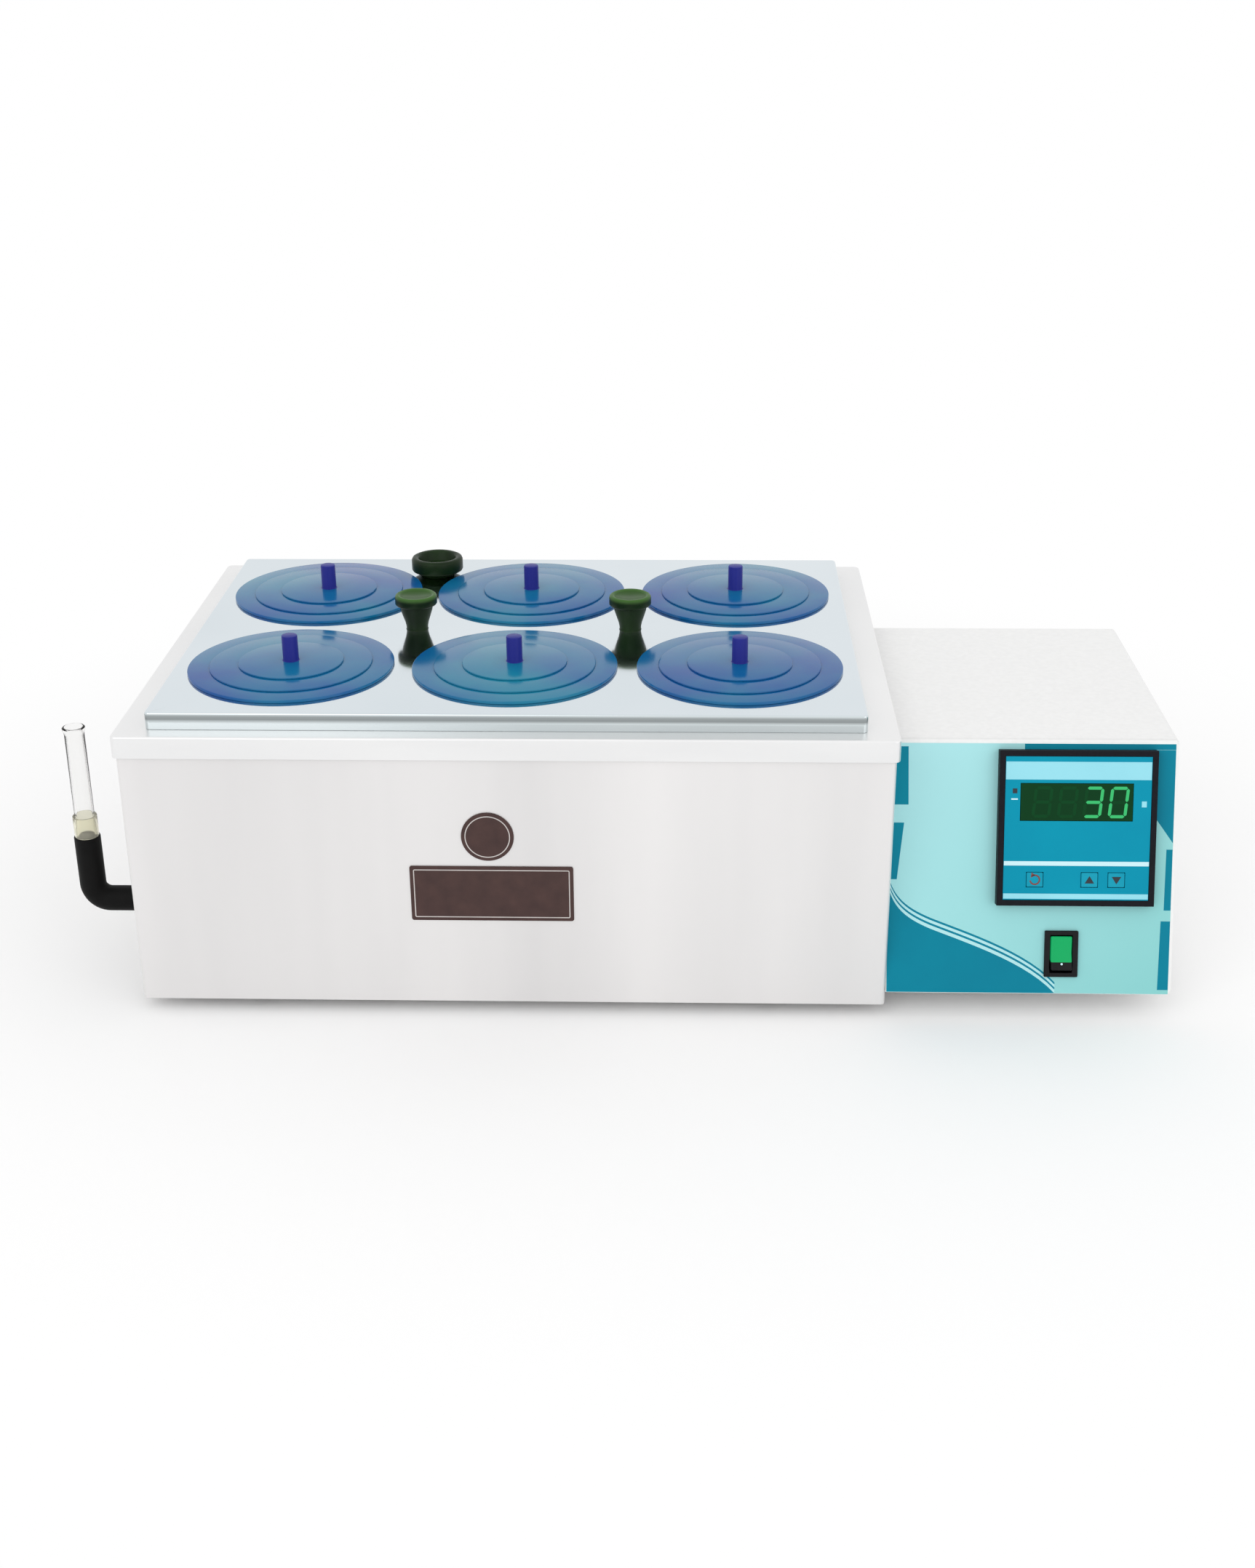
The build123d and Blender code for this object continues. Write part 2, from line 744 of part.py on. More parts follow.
with BuildPart() as cup_locknut:
    with BuildSketch(Plane.XY.offset(cover_under)):
        with Locations(cup_place):
            RegularPolygon(cup_nut_flats / 2, 6, major_radius=False)
            Circle(cup_stem_radius + running_gap, mode=Mode.SUBTRACT)
    extrude(amount=-cup_nut_height)
write(cup_locknut, "cup_locknut")


# Ring lids: each ring hangs by its flange on the one around it, with a spigot in its bore
def lid_ring(place, bore, spigot, flange, seat, thickness):
    """A ring of L-shaped section: flange at height seat, spigot down to the common depth."""
    with BuildPart() as ring:
        with BuildSketch(upright_plane(*place)):
            with BuildLine():
                Polyline(
                    (bore, cover_top - spigot_drop),
                    (spigot, cover_top - spigot_drop),
                    (spigot, seat),
                    (flange, seat),
                    (flange, seat + thickness),
                    (bore, seat + thickness),
                    close=True,
                )
            make_face()
        revolve(axis=Axis((*place, 0), (0, 0, 1)))
    return ring


outer_ring_top = cover_top + outer_ring_flange
middle_ring_top = outer_ring_top + middle_ring_flange
centre_lid_top = middle_ring_top + centre_lid_flange
for number, place in enumerate(lid_places, start=1):
    outer_ring = lid_ring(
        place,
        outer_ring_bore,
        hole_radius - lid_play,
        outer_ring_radius,
        cover_top,
        outer_ring_flange,
    )
    write(outer_ring, f"outer_ring_{number}")
    middle_ring = lid_ring(
        place,
        middle_ring_bore,
        outer_ring_bore - lid_play,
        middle_ring_radius,
        outer_ring_top,
        middle_ring_flange,
    )
    write(middle_ring, f"middle_ring_{number}")
    with BuildPart() as centre_lid:
        with BuildSketch(Plane.XY.offset(cover_top - spigot_drop)):
            with Locations(place):
                Circle(middle_ring_bore - lid_play)
        extrude(amount=middle_ring_top - cover_top + spigot_drop)
        with BuildSketch(Plane.XY.offset(middle_ring_top)):
            with Locations(place):
                Circle(centre_lid_radius)
        extrude(amount=centre_lid_flange)
        with BuildSketch(Plane.XY.offset(centre_lid_top)):
            with Locations(place):
                Circle(lid_knob_radius)
        extrude(amount=lid_knob_height)
    write(centre_lid, f"centre_lid_{number}")

# Control housing: a folded box with a reclined front. Its front and back openings have a
# narrow lip, and a flange behind the lip that the panels lie on.
box_front_bottom = (front_y + box_setback, box_bottom)
box_front_top = (front_y + box_setback + (box_top - box_bottom) * tan(radians(box_recline)), box_top)
box_rear_y = -front_y - box_rear_gap
front_wall = front_panel_sheet + housing_sheet
back_wall = back_panel_sheet + housing_sheet
front_shift = front_wall / cos(radians(box_recline))
panel_low = front_lip_bottom
panel_high = slope_length - front_lip_top
opening_width = box_width - 2 * front_lip_side
opening_height = panel_high - panel_low
opening_centre = (box_width / 2, (panel_low + panel_high) / 2)
slope = tan(radians(box_recline))
back_plane = Plane(origin=(box_left, box_rear_y, box_bottom), x_dir=(1, 0, 0), z_dir=(0, -1, 0))
back_width = box_width - 2 * back_lip
back_height = box_top - box_bottom - 2 * back_lip
back_centre = (box_width / 2, (box_top - box_bottom) / 2)
with BuildPart() as control_housing:
    with BuildSketch(Plane.YZ.offset(box_left)):
        with BuildLine():
            Polyline(
                box_front_bottom,
                box_front_top,
                (box_rear_y, box_top),
                (box_rear_y, box_bottom),
                close=True,
            )
        make_face()
    extrude(amount=box_width)
    chamfer(control_housing.edges().filter_by(Axis.X).group_by(Axis.Z)[-1], length=box_bevel)
    chamfer(control_housing.faces().sort_by(Axis.X)[-1].edges(), length=box_bevel)
    with BuildSketch(Plane.YZ.offset(box_left + housing_sheet)):
        with BuildLine():
            Polyline(
                (box_front_bottom[0] + front_shift + housing_sheet * slope, box_bottom + housing_sheet),
                (box_front_top[0] + front_shift - housing_sheet * slope, box_top - housing_sheet),
                (box_rear_y - back_wall, box_top - housing_sheet),
                (box_rear_y - back_wall, box_bottom + housing_sheet),
                close=True,
            )
        make_face()
    extrude(amount=box_width - 2 * housing_sheet, mode=Mode.SUBTRACT)
    with BuildSketch(panel_plane):
        with Locations(opening_centre):
            Rectangle(opening_width, opening_height)
    extrude(amount=-front_panel_sheet, mode=Mode.SUBTRACT)
    with BuildSketch(panel_plane):
        with Locations(opening_centre):
            Rectangle(opening_width - 2 * panel_flange, opening_height - 2 * panel_flange)
    extrude(amount=-2 * front_wall, mode=Mode.SUBTRACT)
    with BuildSketch(back_plane):
        with Locations(back_centre):
            Rectangle(back_width, back_height)
    extrude(amount=back_panel_sheet, mode=Mode.SUBTRACT)
    with BuildSketch(back_plane):
        with Locations(back_centre):
            Rectangle(back_width - 2 * back_flange, back_height - 2 * back_flange)
    extrude(amount=2 * back_wall, mode=Mode.SUBTRACT)
    extrude(lead_holes(box_left), amount=housing_sheet, mode=Mode.SUBTRACT)
write(control_housing, "control_housing")

# Front panel: an aluminium plate on the housing's flange, cut out for controller and switch
controller_cutout = bezel_side - 2 * bezel_overlap
controller_body = controller_cutout - 2 * controller_body_play
window_right = box_width - front_lip_side - panel_flange
window_top = panel_high - panel_flange
controller_across = window_right - controller_side_gap - controller_cutout / 2
controller_up = window_top - controller_top_gap - controller_body / 2
controller_centre = (controller_across, controller_up)
switch_across = window_right - switch_side_gap - switch_body_width / 2 - slide_gap
switch_up = controller_up - bezel_side / 2 - switch_bezel_gap - switch_length / 2
switch_centre = (switch_across, switch_up)
with BuildPart() as front_panel:
    with BuildSketch(panel_plane):
        with Locations(opening_centre):
            Rectangle(opening_width - 2 * panel_fit, opening_height - 2 * panel_fit)
        with Locations(controller_centre):
            Rectangle(controller_cutout, controller_cutout, mode=Mode.SUBTRACT)
        with Locations(switch_centre):
            Rectangle(
                switch_body_width + 2 * slide_gap, switch_body_length + 2 * slide_gap, mode=Mode.SUBTRACT
            )
    extrude(amount=-front_panel_sheet)
write(front_panel, "front_panel")

# Printed film over the whole leaning face, as far as the housing's bevels
overlay_right = box_width - box_bevel - overlay_margin
overlay_top = slope_length - box_bevel - overlay_margin
with BuildPart() as panel_overlay:
    with BuildSketch(panel_plane):
        with Locations(((overlay_right + overlay_margin) / 2, (overlay_top + overlay_margin) / 2)):
            Rectangle(overlay_right - overlay_margin, overlay_top - overlay_margin)
        with Locations(controller_centre):
            Rectangle(controller_cutout, controller_cutout, mode=Mode.SUBTRACT)
        with Locations(switch_centre):
            Rectangle(
                switch_body_width + 2 * slide_gap, switch_body_length + 2 * slide_gap, mode=Mode.SUBTRACT
            )
    extrude(amount=overlay_film)
write(panel_overlay, "panel_overlay")

# Controller case: square bezel in front of the panel and a deep body behind it
bezel_front = overlay_film + bezel_height
recess_floor = bezel_front - faceplate_recess
recess_side = bezel_side - 2 * bezel_border
faceplate_front = recess_floor + faceplate_sheet
display_up = controller_up + recess_side / 2 - display_margin - display_height / 2
display_centre = (controller_across + display_across, display_up)
button_row = controller_up - recess_side / 2 + button_margin + button_height / 2
button_centres = {
    name: (controller_across + across, button_row) for name, across in button_places.items()
}
button_back = faceplate_front + button_proud - button_thickness
with BuildPart() as controller_case:
    with BuildSketch(panel_plane.offset(overlay_film)):
        with Locations(controller_centre):
            Rectangle(bezel_side, bezel_side)
    extrude(amount=bezel_height)
    with BuildSketch(panel_plane.offset(bezel_front)):
        with Locations(controller_centre):
            Rectangle(recess_side, recess_side)
    extrude(amount=-faceplate_recess, mode=Mode.SUBTRACT)
    with BuildSketch(panel_plane.offset(overlay_film)):
        with Locations(controller_centre):
            Rectangle(controller_body, controller_body)
    extrude(amount=-controller_body_depth)
    with BuildSketch(panel_plane.offset(faceplate_front)):
        with Locations(display_centre):
            Rectangle(display_width + 2 * slide_gap, display_height + 2 * slide_gap)
    extrude(amount=-display_depth, mode=Mode.SUBTRACT)
    with BuildSketch(panel_plane.offset(recess_floor)):
        with Locations(*button_centres.values()):
            Rectangle(button_width + 2 * slide_gap, button_height + 2 * slide_gap)
    extrude(amount=button_back - button_room - recess_floor, mode=Mode.SUBTRACT)
write(controller_case, "controller_case")

# Faceplate in the bezel, open round the display and the three keys
with BuildPart() as controller_faceplate:
    with BuildSketch(panel_plane.offset(recess_floor)):
        with Locations(controller_centre):
            Rectangle(recess_side - 2 * panel_fit, recess_side - 2 * panel_fit)
        with Locations(display_centre):
            Rectangle(
                display_width + 2 * slide_gap, display_height + 2 * slide_gap, mode=Mode.SUBTRACT
            )
        with Locations(*button_centres.values()):
            Rectangle(button_width + 2 * slide_gap, button_height + 2 * slide_gap, mode=Mode.SUBTRACT)
    extrude(amount=faceplate_sheet)
write(controller_faceplate, "controller_faceplate")

with BuildPart() as display_window:
    with BuildSketch(panel_plane.offset(faceplate_front)):
        with Locations(display_centre):
            Rectangle(display_width, display_height)
    extrude(amount=-display_depth)
write(display_window, "display_window")

# Sprung keys, each a cap that sinks into its pocket in the case
for name, centre in button_centres.items():
    with BuildPart() as button:
        with BuildSketch(panel_plane.offset(button_back)):
            with Locations(centre):
                Rectangle(button_width, button_height)
        extrude(amount=button_thickness)
    write(button, name)

# Switch frame: a flange on the panel, a body behind it and a pocket for the rocker
with BuildPart() as switch_frame:
    with BuildSketch(panel_plane.offset(overlay_film)):
        with Locations(switch_centre):
            Rectangle(switch_width, switch_length)
    extrude(amount=switch_flange)
    with BuildSketch(panel_plane.offset(overlay_film)):
        with Locations(switch_centre):
            Rectangle(switch_body_width, switch_body_length)
    extrude(amount=-switch_body_depth)
    with BuildSketch(panel_plane.offset(overlay_film + switch_flange)):
        with Locations(switch_centre):
            Rectangle(rocker_width + 2 * slide_gap, 2 * switch_window_half_length)
    extrude(amount=-(switch_flange + switch_window_depth), mode=Mode.SUBTRACT)
write(switch_frame, "switch_frame")

# Rocker: two shallow faces that meet in a dip, and a root that turns on the pivot. It rests
# with its upper half pressed in.
pivot = panel_plane.from_local_coords(
    (switch_across - rocker_width / 2, switch_up, overlay_film + rocker_pivot)
)
rocker_lean = radians(box_recline + rocker_tilt)
rocker_plane = Plane(
    origin=pivot, x_dir=(0, sin(rocker_lean), cos(rocker_lean)), z_dir=(1, 0, 0)
)
with BuildPart() as switch_rocker:
    with BuildSketch(rocker_plane):
        with BuildLine():
            Polyline(
                (-rocker_half_length, rocker_crest - rocker_pivot),
                (0, rocker_dip - rocker_pivot),
                (rocker_half_length, rocker_crest - rocker_pivot),
                (rocker_half_length, rocker_shoulder - rocker_pivot),
                (rocker_root_half_length, rocker_root - rocker_pivot),
                (-rocker_root_half_length, rocker_root - rocker_pivot),
                (-rocker_half_length, rocker_shoulder - rocker_pivot),
                close=True,
            )
        make_face()
    extrude(amount=rocker_width)
write(switch_rocker, "switch_rocker")

# Back panel with louvre slots and the cut-out of the mains inlet
inlet_across = box_width - inlet_side_gap - inlet_flange_width / 2
inlet_centre = (inlet_across, inlet_up)
with BuildPart() as back_panel:
    with BuildSketch(back_plane):
        with Locations(back_centre):
            Rectangle(back_width - 2 * panel_fit, back_height - 2 * panel_fit)
        with Locations((vent_across, vent_up)):
            with GridLocations(0, vent_pitch, 1, vent_count):
                Rectangle(vent_width, vent_height, mode=Mode.SUBTRACT)
        with Locations(inlet_centre):
            Rectangle(
                inlet_body_width + 2 * slide_gap, inlet_body_height + 2 * slide_gap, mode=Mode.SUBTRACT
            )
    extrude(amount=back_panel_sheet)
write(back_panel, "back_panel")

# Mains inlet: a flanged socket with three pins and a fuse drawer above it
socket_centre = (inlet_across, inlet_up - inlet_socket_drop)
with BuildPart() as mains_inlet:
    with BuildSketch(back_plane):
        with Locations(inlet_centre):
            Rectangle(inlet_flange_width, inlet_flange_height)
    extrude(amount=-inlet_flange_sheet)
    with BuildSketch(back_plane):
        with Locations(inlet_centre):
            Rectangle(inlet_body_width, inlet_body_height)
    extrude(amount=inlet_body_depth)
    with BuildSketch(back_plane.offset(-inlet_flange_sheet)):
        with Locations((inlet_across, inlet_up + fuse_drawer_rise)):
            Rectangle(fuse_drawer_width, fuse_drawer_height)
    extrude(amount=-fuse_drawer_proud)
    with BuildSketch(back_plane.offset(-inlet_flange_sheet)):
        with Locations(socket_centre):
            socket_outline = Rectangle(inlet_socket_width, inlet_socket_height)
        chamfer(socket_outline.vertices().group_by(Axis.Y)[-1], length=inlet_socket_chamfer)
    extrude(amount=inlet_socket_depth, mode=Mode.SUBTRACT)
    with BuildSketch(back_plane.offset(inlet_socket_depth - inlet_flange_sheet)):
        with Locations(socket_centre):
            with Locations((0, inlet_earth_rise), (-inlet_pin_pitch, 0), (inlet_pin_pitch, 0)):
                Rectangle(inlet_pin_width, inlet_pin_height)
    extrude(amount=-inlet_pin_length)
write(mains_inlet, "mains_inlet")

# Heater control inside the box: finned sink on the floor, relay on the sink, terminal strip
box_floor = box_bottom + housing_sheet
sink_across = box_width - housing_sheet - sink_side_gap - sink_width / 2
sink_y = box_rear_y - inlet_body_depth - sink_inlet_gap - sink_length / 2
sink_centre = (box_left + sink_across, sink_y)
with BuildPart() as heat_sink:
    with BuildSketch(Plane.XY.offset(box_floor)):
        with Locations(sink_centre):
            with GridLocations((sink_width - sink_fin_sheet) / (sink_fins - 1), 0, sink_fins, 1):
                Rectangle(sink_fin_sheet, sink_length)
    extrude(amount=sink_height - sink_base)
    with BuildSketch(Plane.XY.offset(box_floor + sink_height - sink_base)):
        with Locations(sink_centre):
            Rectangle(sink_width, sink_length)
    extrude(amount=sink_base)
write(heat_sink, "heat_sink")

relay_foot = box_floor + sink_height
with BuildPart() as solid_state_relay:
    with BuildSketch(Plane.XY.offset(relay_foot)):
        with Locations(sink_centre):
            Rectangle(relay_width, relay_length)
    extrude(amount=relay_height - relay_step)
    with BuildSketch(Plane.XY.offset(relay_foot + relay_height - relay_step)):
        with Locations(sink_centre):
            Rectangle(relay_width, relay_length - 2 * relay_step_length)
    extrude(amount=relay_step)
    with BuildSketch(Plane.XY.offset(relay_foot + relay_height - relay_step)):
        with Locations(sink_centre):
            with GridLocations(relay_screw_pitch_x, relay_length - relay_step_length, 2, 2):
                RegularPolygon(relay_screw_radius, 6)
    extrude(amount=relay_screw_height)
write(solid_state_relay, "solid_state_relay")

terminal_centre = (
    box_left + housing_sheet + terminal_side_gap + terminal_width / 2,
    sink_y - sink_length / 2 - terminal_sink_gap - terminal_depth / 2,
)
with BuildPart() as terminal_block:
    with BuildSketch(Plane.XY.offset(box_floor)):
        with Locations(terminal_centre):
            Rectangle(terminal_width, terminal_depth)
    extrude(amount=terminal_height)
    with BuildSketch(Plane.XY.offset(box_floor + terminal_height)):
        with Locations(terminal_centre):
            with GridLocations(
                (terminal_width - terminal_barrier_sheet) / (terminal_barriers - 1),
                0,
                terminal_barriers,
                1,
            ):
                Rectangle(terminal_barrier_sheet, terminal_depth)
    extrude(amount=terminal_barrier)
write(terminal_block, "terminal_block")
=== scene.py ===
import math

import bpy
from mathutils import Matrix, Vector
from mathutils.geometry import interpolate_bezier


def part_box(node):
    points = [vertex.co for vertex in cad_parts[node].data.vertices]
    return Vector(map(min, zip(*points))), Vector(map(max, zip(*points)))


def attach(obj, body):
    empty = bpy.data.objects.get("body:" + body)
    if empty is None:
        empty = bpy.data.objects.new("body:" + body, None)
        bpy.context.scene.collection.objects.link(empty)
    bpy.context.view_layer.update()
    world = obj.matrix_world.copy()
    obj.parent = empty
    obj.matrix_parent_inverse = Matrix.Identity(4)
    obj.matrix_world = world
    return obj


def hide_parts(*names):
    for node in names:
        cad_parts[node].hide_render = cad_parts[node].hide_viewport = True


# A six-place laboratory water bath with ring lids, a level gauge and a control box, dressed piece
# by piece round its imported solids. Metres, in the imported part's own frame.
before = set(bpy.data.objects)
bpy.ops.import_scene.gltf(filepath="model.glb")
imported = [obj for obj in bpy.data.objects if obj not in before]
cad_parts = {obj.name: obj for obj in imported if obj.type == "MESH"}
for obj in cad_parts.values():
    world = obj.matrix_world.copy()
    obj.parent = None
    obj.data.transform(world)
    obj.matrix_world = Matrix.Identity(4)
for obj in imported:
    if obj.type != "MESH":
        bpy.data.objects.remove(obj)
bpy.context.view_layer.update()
bpy.ops.object.select_all(action="DESELECT")
mm = 0.001


# Camera: where the photograph was taken from, above the lids and nearly square to the casing's
# front, looking down at them.
camera_place = (0.043781, -1.254354, 0.638567)
camera_pan = math.radians(1.852)
camera_tilt = math.radians(66.164)
camera_roll = math.radians(-0.421)
lens = bpy.data.cameras.new("bench_lens")
lens.lens = 45.82
lens.sensor_width = 36.0
camera = bpy.data.objects.new("bench_camera", lens)
bpy.context.scene.collection.objects.link(camera)
camera.matrix_world = (
    Matrix.Translation(camera_place)
    @ Matrix.Rotation(camera_pan, 4, "Z")
    @ Matrix.Rotation(camera_tilt, 4, "X")
    @ Matrix.Rotation(camera_roll, 4, "Z")
)
bpy.context.scene.camera = camera
bpy.context.scene.view_settings.view_transform = "Standard"


# Studio: a white room. The camera, mirrors and glass see plain white, and the matt surfaces get
# a slightly weaker, even light from it.
matt_share = 0.92
room = bpy.data.worlds.new("white_room")
bpy.context.scene.world = room
room.use_nodes = True
room_tree = room.node_tree
room_paint = room_tree.nodes["Background"]
room_paint.inputs["Color"].default_value = (1.0, 1.0, 1.0, 1.0)
seen_by = room_tree.nodes.new("ShaderNodeLightPath")
camera_or_mirror = room_tree.nodes.new("ShaderNodeMath")
camera_or_mirror.operation = "MAXIMUM"
room_tree.links.new(seen_by.outputs["Is Camera Ray"], camera_or_mirror.inputs[0])
room_tree.links.new(seen_by.outputs["Is Glossy Ray"], camera_or_mirror.inputs[1])
or_glass = room_tree.nodes.new("ShaderNodeMath")
or_glass.operation = "MAXIMUM"
room_tree.links.new(camera_or_mirror.outputs[0], or_glass.inputs[0])
room_tree.links.new(seen_by.outputs["Is Transmission Ray"], or_glass.inputs[1])
room_strength = room_tree.nodes.new("ShaderNodeMapRange")
room_strength.inputs["To Min"].default_value = matt_share
room_strength.inputs["To Max"].default_value = 1.0
room_tree.links.new(or_glass.outputs[0], room_strength.inputs["Value"])
room_tree.links.new(room_strength.outputs["Result"], room_paint.inputs["Strength"])


def softbox(name, place, aim, size, power):
    """A square diffused lamp on a stand, turned to face a point."""
    light = bpy.data.lights.new(name, "AREA")
    light.shape = "SQUARE"
    light.size = size
    light.energy = power
    lamp = bpy.data.objects.new(name, light)
    bpy.context.scene.collection.objects.link(lamp)
    lamp.location = place
    lamp.rotation_euler = (Vector(aim) - Vector(place)).to_track_quat("-Z", "Y").to_euler()


bath_centre = (0.0, 0.0, 0.1)
softbox("key_softbox", (-1.3, -2.3, 1.9), bath_centre, 2.2, 13.0)
softbox("fill_softbox", (1.8, -2.0, 1.2), bath_centre, 2.0, 7.5)

# Floor: a wide sheet of white paper under the bath. It keeps the soft shadow near the bath, and
# away from it the camera sees plain white.
shadow_reach = 0.35
white_reach = 0.75
bpy.ops.mesh.primitive_plane_add(size=14.0, location=(0.0, 0.0, 0.0))
floor = bpy.context.object
floor.name = "paper_floor"
paper = bpy.data.materials.new("white_paper")
paper.use_nodes = True
paper_shader = paper.node_tree.nodes["Principled BSDF"]
paper_shader.inputs["Base Color"].default_value = (0.97, 0.97, 0.97, 1.0)
paper_shader.inputs["Roughness"].default_value = 0.9
paper_shader.inputs["Specular IOR Level"].default_value = 0.0
paper_tree = paper.node_tree
paper_place = paper_tree.nodes.new("ShaderNodeTexCoord")
paper_distance = paper_tree.nodes.new("ShaderNodeVectorMath")
paper_distance.operation = "LENGTH"
paper_fade = paper_tree.nodes.new("ShaderNodeMapRange")
paper_fade.interpolation_type = "SMOOTHSTEP"
paper_fade.inputs["From Min"].default_value = shadow_reach
paper_fade.inputs["From Max"].default_value = white_reach
paper_seen = paper_tree.nodes.new("ShaderNodeLightPath")
paper_share = paper_tree.nodes.new("ShaderNodeMath")
paper_share.operation = "MULTIPLY"
paper_glow = paper_tree.nodes.new("ShaderNodeEmission")
paper_mix = paper_tree.nodes.new("ShaderNodeMixShader")
paper_links = paper_tree.links
paper_links.new(paper_place.outputs["Object"], paper_distance.inputs[0])
paper_links.new(paper_distance.outputs["Value"], paper_fade.inputs["Value"])
paper_links.new(paper_fade.outputs["Result"], paper_share.inputs[0])
paper_links.new(paper_seen.outputs["Is Camera Ray"], paper_share.inputs[1])
paper_links.new(paper_share.outputs[0], paper_mix.inputs[0])
paper_links.new(paper_shader.outputs[0], paper_mix.inputs[1])
paper_links.new(paper_glow.outputs[0], paper_mix.inputs[2])
paper_links.new(paper_mix.outputs[0], paper_tree.nodes["Material Output"].inputs["Surface"])
floor.data.materials.append(paper)


# Casing: one folded wrapper of bright stainless sheet, its colour painted with soft upright bands
# of reflection, closed below by a plated base plate that screws hold to its flange.
def surface(name, light, dark, scale, gloss, relief=0.0, depth=0.0001, sockets=None):
    """A material of two close shades in a drawn-out noise, with uneven gloss and a fine relief."""
    material = bpy.data.materials.new(name)
    material.use_nodes = True
    tree = material.node_tree
    shader = tree.nodes["Principled BSDF"]
    place = tree.nodes.new("ShaderNodeTexCoord")
    stretch = tree.nodes.new("ShaderNodeMapping")
    stretch.inputs["Scale"].default_value = scale
    noise = tree.nodes.new("ShaderNodeTexNoise")
    noise.inputs["Scale"].default_value = 1.0
    noise.inputs["Detail"].default_value = 4.0
    shades = tree.nodes.new("ShaderNodeValToRGB")
    shades.color_ramp.elements[0].position = 0.3
    shades.color_ramp.elements[1].position = 0.7
    shades.color_ramp.elements[0].color = (*dark, 1.0)
    shades.color_ramp.elements[1].color = (*light, 1.0)
    sheen = tree.nodes.new("ShaderNodeMapRange")
    sheen.inputs["To Min"].default_value = gloss[0]
    sheen.inputs["To Max"].default_value = gloss[1]
    tree.links.new(place.outputs["Object"], stretch.inputs["Vector"])
    tree.links.new(stretch.outputs["Vector"], noise.inputs["Vector"])
    tree.links.new(noise.outputs["Fac"], shades.inputs["Fac"])
    tree.links.new(shades.outputs["Color"], shader.inputs["Base Color"])
    tree.links.new(noise.outputs["Fac"], sheen.inputs["Value"])
    tree.links.new(sheen.outputs["Result"], shader.inputs["Roughness"])
    if relief:
        bump = tree.nodes.new("ShaderNodeBump")
        bump.inputs["Strength"].default_value = relief
        bump.inputs["Distance"].default_value = depth
        tree.links.new(noise.outputs["Fac"], bump.inputs["Height"])
        tree.links.new(bump.outputs["Normal"], shader.inputs["Normal"])
    for socket, value in (sockets or {}).items():
        shader.inputs[socket].default_value = value
    return material


def dress(node, material):
    """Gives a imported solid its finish."""
    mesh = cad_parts[node].data
    mesh.materials.clear()
    mesh.materials.append(material)


def fit(piece, name, body, material, slot, *nodes):
    """Names and finishes a piece, and rides it on its body in place of the solids it replaces."""
    piece.name = name
    piece.data.materials.clear()
    piece.data.materials.append(material)
    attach(piece, body)
    if nodes:
        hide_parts(*nodes)
    piece.select_set(False)
    return piece


def eased(node, edge, name, body, material, slot):
    """A copy of a sheet or moulded solid with its sharp edges eased, which stands for it."""
    bpy.ops.object.select_all(action="DESELECT")
    piece = bpy.data.objects.new(name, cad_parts[node].data.copy())
    bpy.context.scene.collection.objects.link(piece)
    bpy.context.view_layer.objects.active = piece
    piece.select_set(True)
    bpy.ops.object.mode_set(mode="EDIT")
    bpy.ops.mesh.select_all(action="SELECT")
    bpy.ops.mesh.remove_doubles(threshold=0.005 * mm)
    bpy.ops.mesh.dissolve_limited(angle_limit=math.radians(1.0))
    bpy.ops.object.mode_set(mode="OBJECT")
    round_off = piece.modifiers.new("eased_edges", "BEVEL")
    round_off.width = edge
    round_off.segments = 2
    round_off.limit_method = "ANGLE"
    round_off.angle_limit = math.radians(40.0)
    bpy.ops.object.modifier_apply(modifier="eased_edges")
    bpy.ops.object.shade_smooth_by_angle(angle=math.radians(35.0))
    flat = piece.modifiers.new("flat_faces", "WEIGHTED_NORMAL")
    flat.weight = 100
    flat.keep_sharp = True
    bpy.ops.object.modifier_apply(modifier="flat_faces")
    return fit(piece, name, body, material, slot, node)


# Its lighter and darker upright bands are painted reflections, drawn tall in the noise.
bright_sheet_painted_reflections = surface(
    "bright_stainless_sheet",
    (0.86, 0.845, 0.84),
    (0.70, 0.69, 0.69),
    (6.0, 6.0, 0.8),
    (0.30, 0.40),
    sockets={"Metallic": 0.5},
)
eased("outer_casing", 0.4 * mm, "casing_wrapper", "bath", bright_sheet_painted_reflections, "bath_steel")

zinc_plate = surface(
    "zinc_plated_sheet",
    (0.62, 0.62, 0.60),
    (0.50, 0.51, 0.50),
    (30, 30, 30),
    (0.35, 0.5),
    sockets={"Metallic": 1.0},
)
dress("base_plate", zinc_plate)


